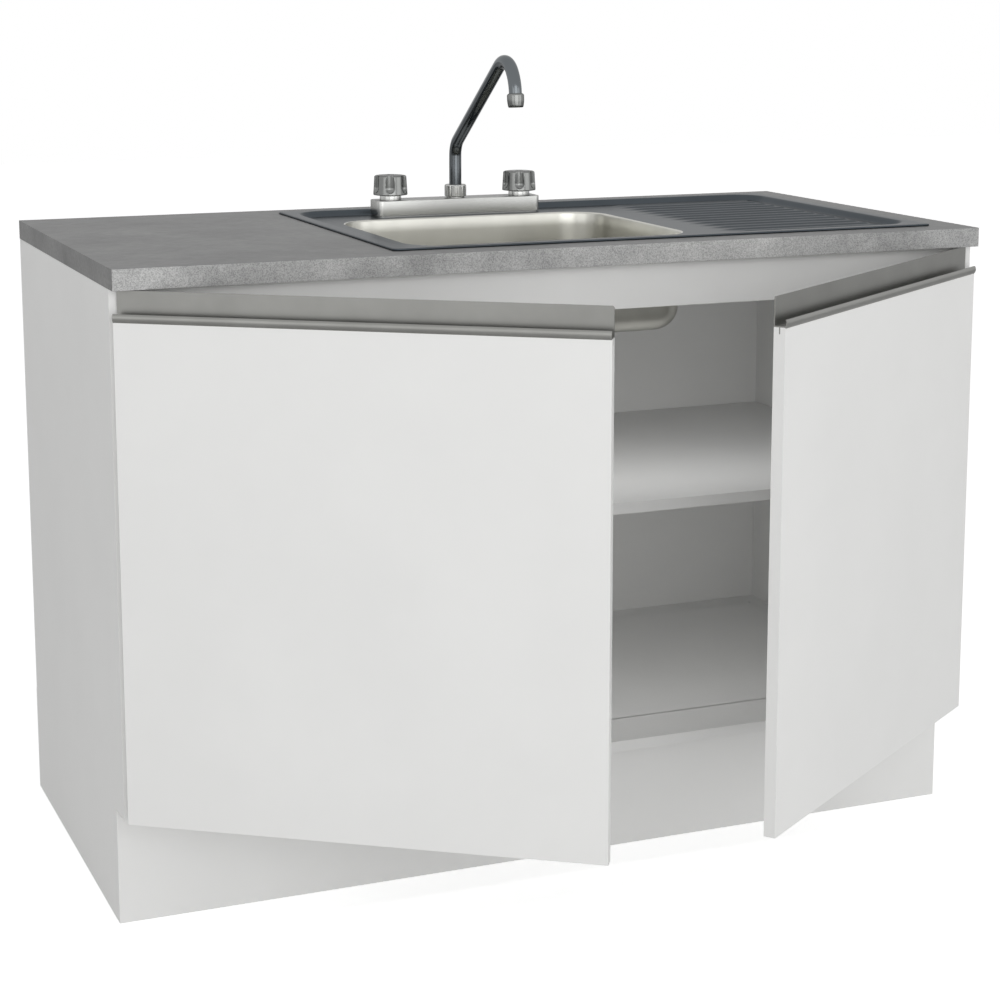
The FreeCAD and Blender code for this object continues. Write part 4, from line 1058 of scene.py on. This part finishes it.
    def nut(self) -> bpy.types.Object:
        """The fluted nut that holds the spout down, chamfered at both ends."""
        low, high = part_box("spout_nut")
        place = (self.middle.x, self.middle.y, low.z)
        top, cut, radius = high.z - low.z, 0.0014, self.nut_radius
        inner = self.spout_radius + 0.0001
        profile = np.array([(inner, 0.0), (radius - cut, 0.0), (radius - 0.0003, cut - 0.0003),
                            (radius, cut), (radius, top - cut),
                            (radius - 0.0003, top - cut + 0.0003), (radius - cut, top),
                            (inner, top)])
        surface = Surface().grid(moved(turned(profile, 288, self._nut_radius), place), True)
        piece = surface.piece("fluted_spout_nut", [self.paint.of(TAP_CHROME)], 30.0)
        return self._place(piece, Body.CABINET, "spout_nut")

    def build(self) -> None:
        """Makes all of the tap's own pieces."""
        self.body()
        self.nut()
        for side in Side:
            self.bonnet(side)
            self.knob(side)
        self.spout()
        self.aerator()


# --- Carcass and doors ----------------------------------------------------------


@dataclass
class Dressing:
    """Materials and softened edges for the nodes that keep their solid's shape."""

    paint: Paint
    nodes: dict[str, bpy.types.Object]
    edge: float = 0.0006

    def dress(self, finish: object, names: Sequence[str], edge: float = 0.0) -> None:
        """Gives nodes a finish and, where edge isn't 0, a small rounding.

        Args:
            finish: the finish.
            names: the nodes.
            edge: the rounding's radius.
        """
        for name in names:
            thing = self.nodes[name]
            thing.data.materials.clear()
            thing.data.materials.append(self.paint.of(finish))
            if edge:
                weld = thing.modifiers.new("weld", "WELD")
                weld.merge_threshold = 1e-5
                bevel = thing.modifiers.new("edge", "BEVEL")
                bevel.width = edge
                bevel.segments = 2
                bevel.limit_method = "ANGLE"
                bevel.angle_limit = math.radians(50)
                bevel.harden_normals = True
            LOG.info("%s has the finish %s", name, finish.name)

    def build(self) -> None:
        """Dresses every node that isn't replaced."""
        boards = ["bottom_panel", "shelf", "back_panel", "front_rail", "back_rail",
                  "plinth_front", "plinth_left", "plinth_right", "plinth_back",
                  "plinth_cross_rail", "plinth_corner_blocks", "left_side_panel",
                  "right_side_panel", "left_door", "right_door"]
        self.dress(BoardFinish(), boards, self.edge)
        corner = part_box("worktop")[0]
        self.dress(LaminateFinish(corner.x, corner.y), ["worktop"], self.edge)
        self.dress(HANDLE_ALUMINIUM, ["left_handle", "right_handle"])
        pairs = ["hinge_cups", "cup_pins", "hinge_links", "hinge_arms", "hinge_plates"]
        self.dress(HINGE_NICKEL, [f"{s.word}_{p}" for s in Side for p in pairs] + ["arm_pins"])
        self.dress(ZINC_PLATE, ["plate_screws", "left_cup_screws", "right_cup_screws",
                                "base_screws", "shelf_pins", "sink_clips",
                                "sink_clip_screws"])
        self.dress(KNOB_CHROME_PAINTED_SHADE, ["left_knob_screw", "right_knob_screw"])
        self.dress(PLAIN_BRASS, ["inlet_shanks", "shank_nuts", "left_valve_stem",
                                 "right_valve_stem"])
        self.dress(WASTE_STEEL, ["waste_body", "strainer_basket", "waste_tailpiece"])
        self.dress(WASTE_PLASTIC, ["waste_lock_nut"])
        self.dress(SEAL_RUBBER, ["sink_seal", "waste_gasket", "left_bumpers",
                                 "right_bumpers"])


# --- Studio ---------------------------------------------------------------------


@dataclass(frozen=True)
class SoftLamp:
    """An area lamp: where it hangs, its side, its watts and the point it looks at.

    The two strips hang inside the carcass, so that closed doors hide their light. A length
    makes a lamp long in X.
    """

    name: str
    place: tuple[float, float, float]
    size: float
    power: float
    aim: tuple[float, float, float] = (0.0, 0.0, 0.45)
    mirrored: bool = True
    length: float = 0.0


LAMPS = (
    SoftLamp("front", (-0.5, -4.2, 1.1), 3.6, 63.0),
    SoftLamp("front_left", (-3.4, -2.4, 1.0), 2.4, 14.5),
    SoftLamp("front_right", (2.8, -3.2, 1.1), 2.4, 17.5),
    SoftLamp("upper_strip", (0.0, -0.24, 0.735), 0.03, 1.0, aim=(0.0, 0.1, 0.45),
             mirrored=False, length=0.9),
    SoftLamp("lower_strip", (0.0, -0.26, 0.445), 0.03, 0.46, aim=(0.0, 0.1, 0.17),
             mirrored=False, length=0.9),
)


@dataclass
class Studio:
    """Camera, lamps, white world and pale floor."""

    camera_place: tuple[float, float, float] = (-1.1535, -2.8779, 1.1651)
    yaw: float = 0.3910
    pitch: float = 0.17094
    lens: float = 80.17
    shift: tuple[float, float] = (-0.01068, -0.13)
    sensor: float = 36.0
    floor_glow: float = 0.5
    floor_side: float = 12.0
    world_light: float = 0.55

    def camera(self) -> None:
        """The camera, turned by its yaw and then tipped down by its pitch."""
        data = bpy.data.cameras.new("view")
        data.lens = self.lens
        data.sensor_width = self.sensor
        data.shift_x, data.shift_y = self.shift
        data.clip_end = 50.0
        camera = bpy.data.objects.new("view", data)
        camera.location = self.camera_place
        camera.rotation_euler = (math.pi / 2 - self.pitch, 0.0, -self.yaw)
        bpy.context.scene.collection.objects.link(camera)
        bpy.context.scene.camera = camera

    def lamp(self, soft: SoftLamp) -> None:
        """Hangs one area lamp, which only its light shows."""
        data = bpy.data.lights.new(soft.name, "AREA")
        data.shape = "RECTANGLE"
        data.size = soft.length or soft.size
        data.size_y = soft.size
        data.energy = soft.power
        lamp = bpy.data.objects.new(soft.name, data)
        lamp.location = soft.place
        toward = Vector(soft.aim) - Vector(soft.place)
        lamp.rotation_euler = toward.to_track_quat("-Z", "Y").to_euler()
        lamp.visible_camera = False
        lamp.visible_glossy = soft.mirrored
        bpy.context.scene.collection.objects.link(lamp)

    def world(self) -> None:
        """White to the camera and in reflections, and softer as a light."""
        world = bpy.data.worlds.new("studio")
        world.use_nodes = True
        nodes, links = world.node_tree.nodes, world.node_tree.links
        back = nodes["Background"]
        rays = nodes.new("ShaderNodeLightPath")

        def either(first: bpy.types.NodeSocket,
                   second: bpy.types.NodeSocket) -> bpy.types.NodeSocket:
            node = nodes.new("ShaderNodeMath")
            node.operation = "MAXIMUM"
            links.new(first, node.inputs[0])
            links.new(second, node.inputs[1])
            return node.outputs[0]

        mirrored = either(rays.outputs["Is Glossy Ray"], rays.outputs["Is Transmission Ray"])
        seen = either(rays.outputs["Is Camera Ray"], mirrored)
        level = nodes.new("ShaderNodeMapRange")
        level.inputs["To Min"].default_value = self.world_light
        level.inputs["To Max"].default_value = 1.0
        links.new(seen, level.inputs["Value"])
        links.new(level.outputs["Result"], back.inputs["Strength"])
        back.inputs["Color"].default_value = (1.0, 1.0, 1.0, 1.0)
        bpy.context.scene.world = world

    def floor(self) -> None:
        """A wide pale floor that keeps the unit's soft shadow."""
        grid = np.linspace(-self.floor_side, self.floor_side, 3)
        x, y = np.meshgrid(grid, grid)
        tree = Tree("pale_floor")
        tree.colour(tree.ramp(tree.noise(3.0), [(0.3, (0.93, 0.93, 0.93)),
                                                (0.7, (0.95, 0.95, 0.95))]))
        tree.set(Roughness=0.9, Specular_IOR_Level=0.1)
        rays = tree.nodes.new("ShaderNodeLightPath")
        glow = tree.spread(rays.outputs["Is Camera Ray"], 0.0, self.floor_glow)
        tree.links.new(glow, tree.shader.inputs["Emission Strength"])
        tree.set(Emission_Color=(1.0, 1.0, 1.0, 1.0))
        floor = Surface().grid(joined(x, y, 0.0)).piece("studio_floor", [tree.material])

    def build(self) -> None:
        """Sets the studio up."""
        self.camera()
        self.world()
        self.floor()
        for lamp in LAMPS:
            self.lamp(lamp)
        bpy.context.scene.view_settings.view_transform = "Standard"


def main() -> None:
    """Loads the frame, builds each sub-assembly and sets the studio up."""
    logging.basicConfig(level=logging.INFO, format="%(name)s: %(message)s")
    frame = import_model()
    paint = Paint()
    Dressing(paint, frame["nodes"]).build()
    SinkShell(paint).build()
    Tap(paint).build()
    Studio().build()


if __name__ == "__main__":
    main()
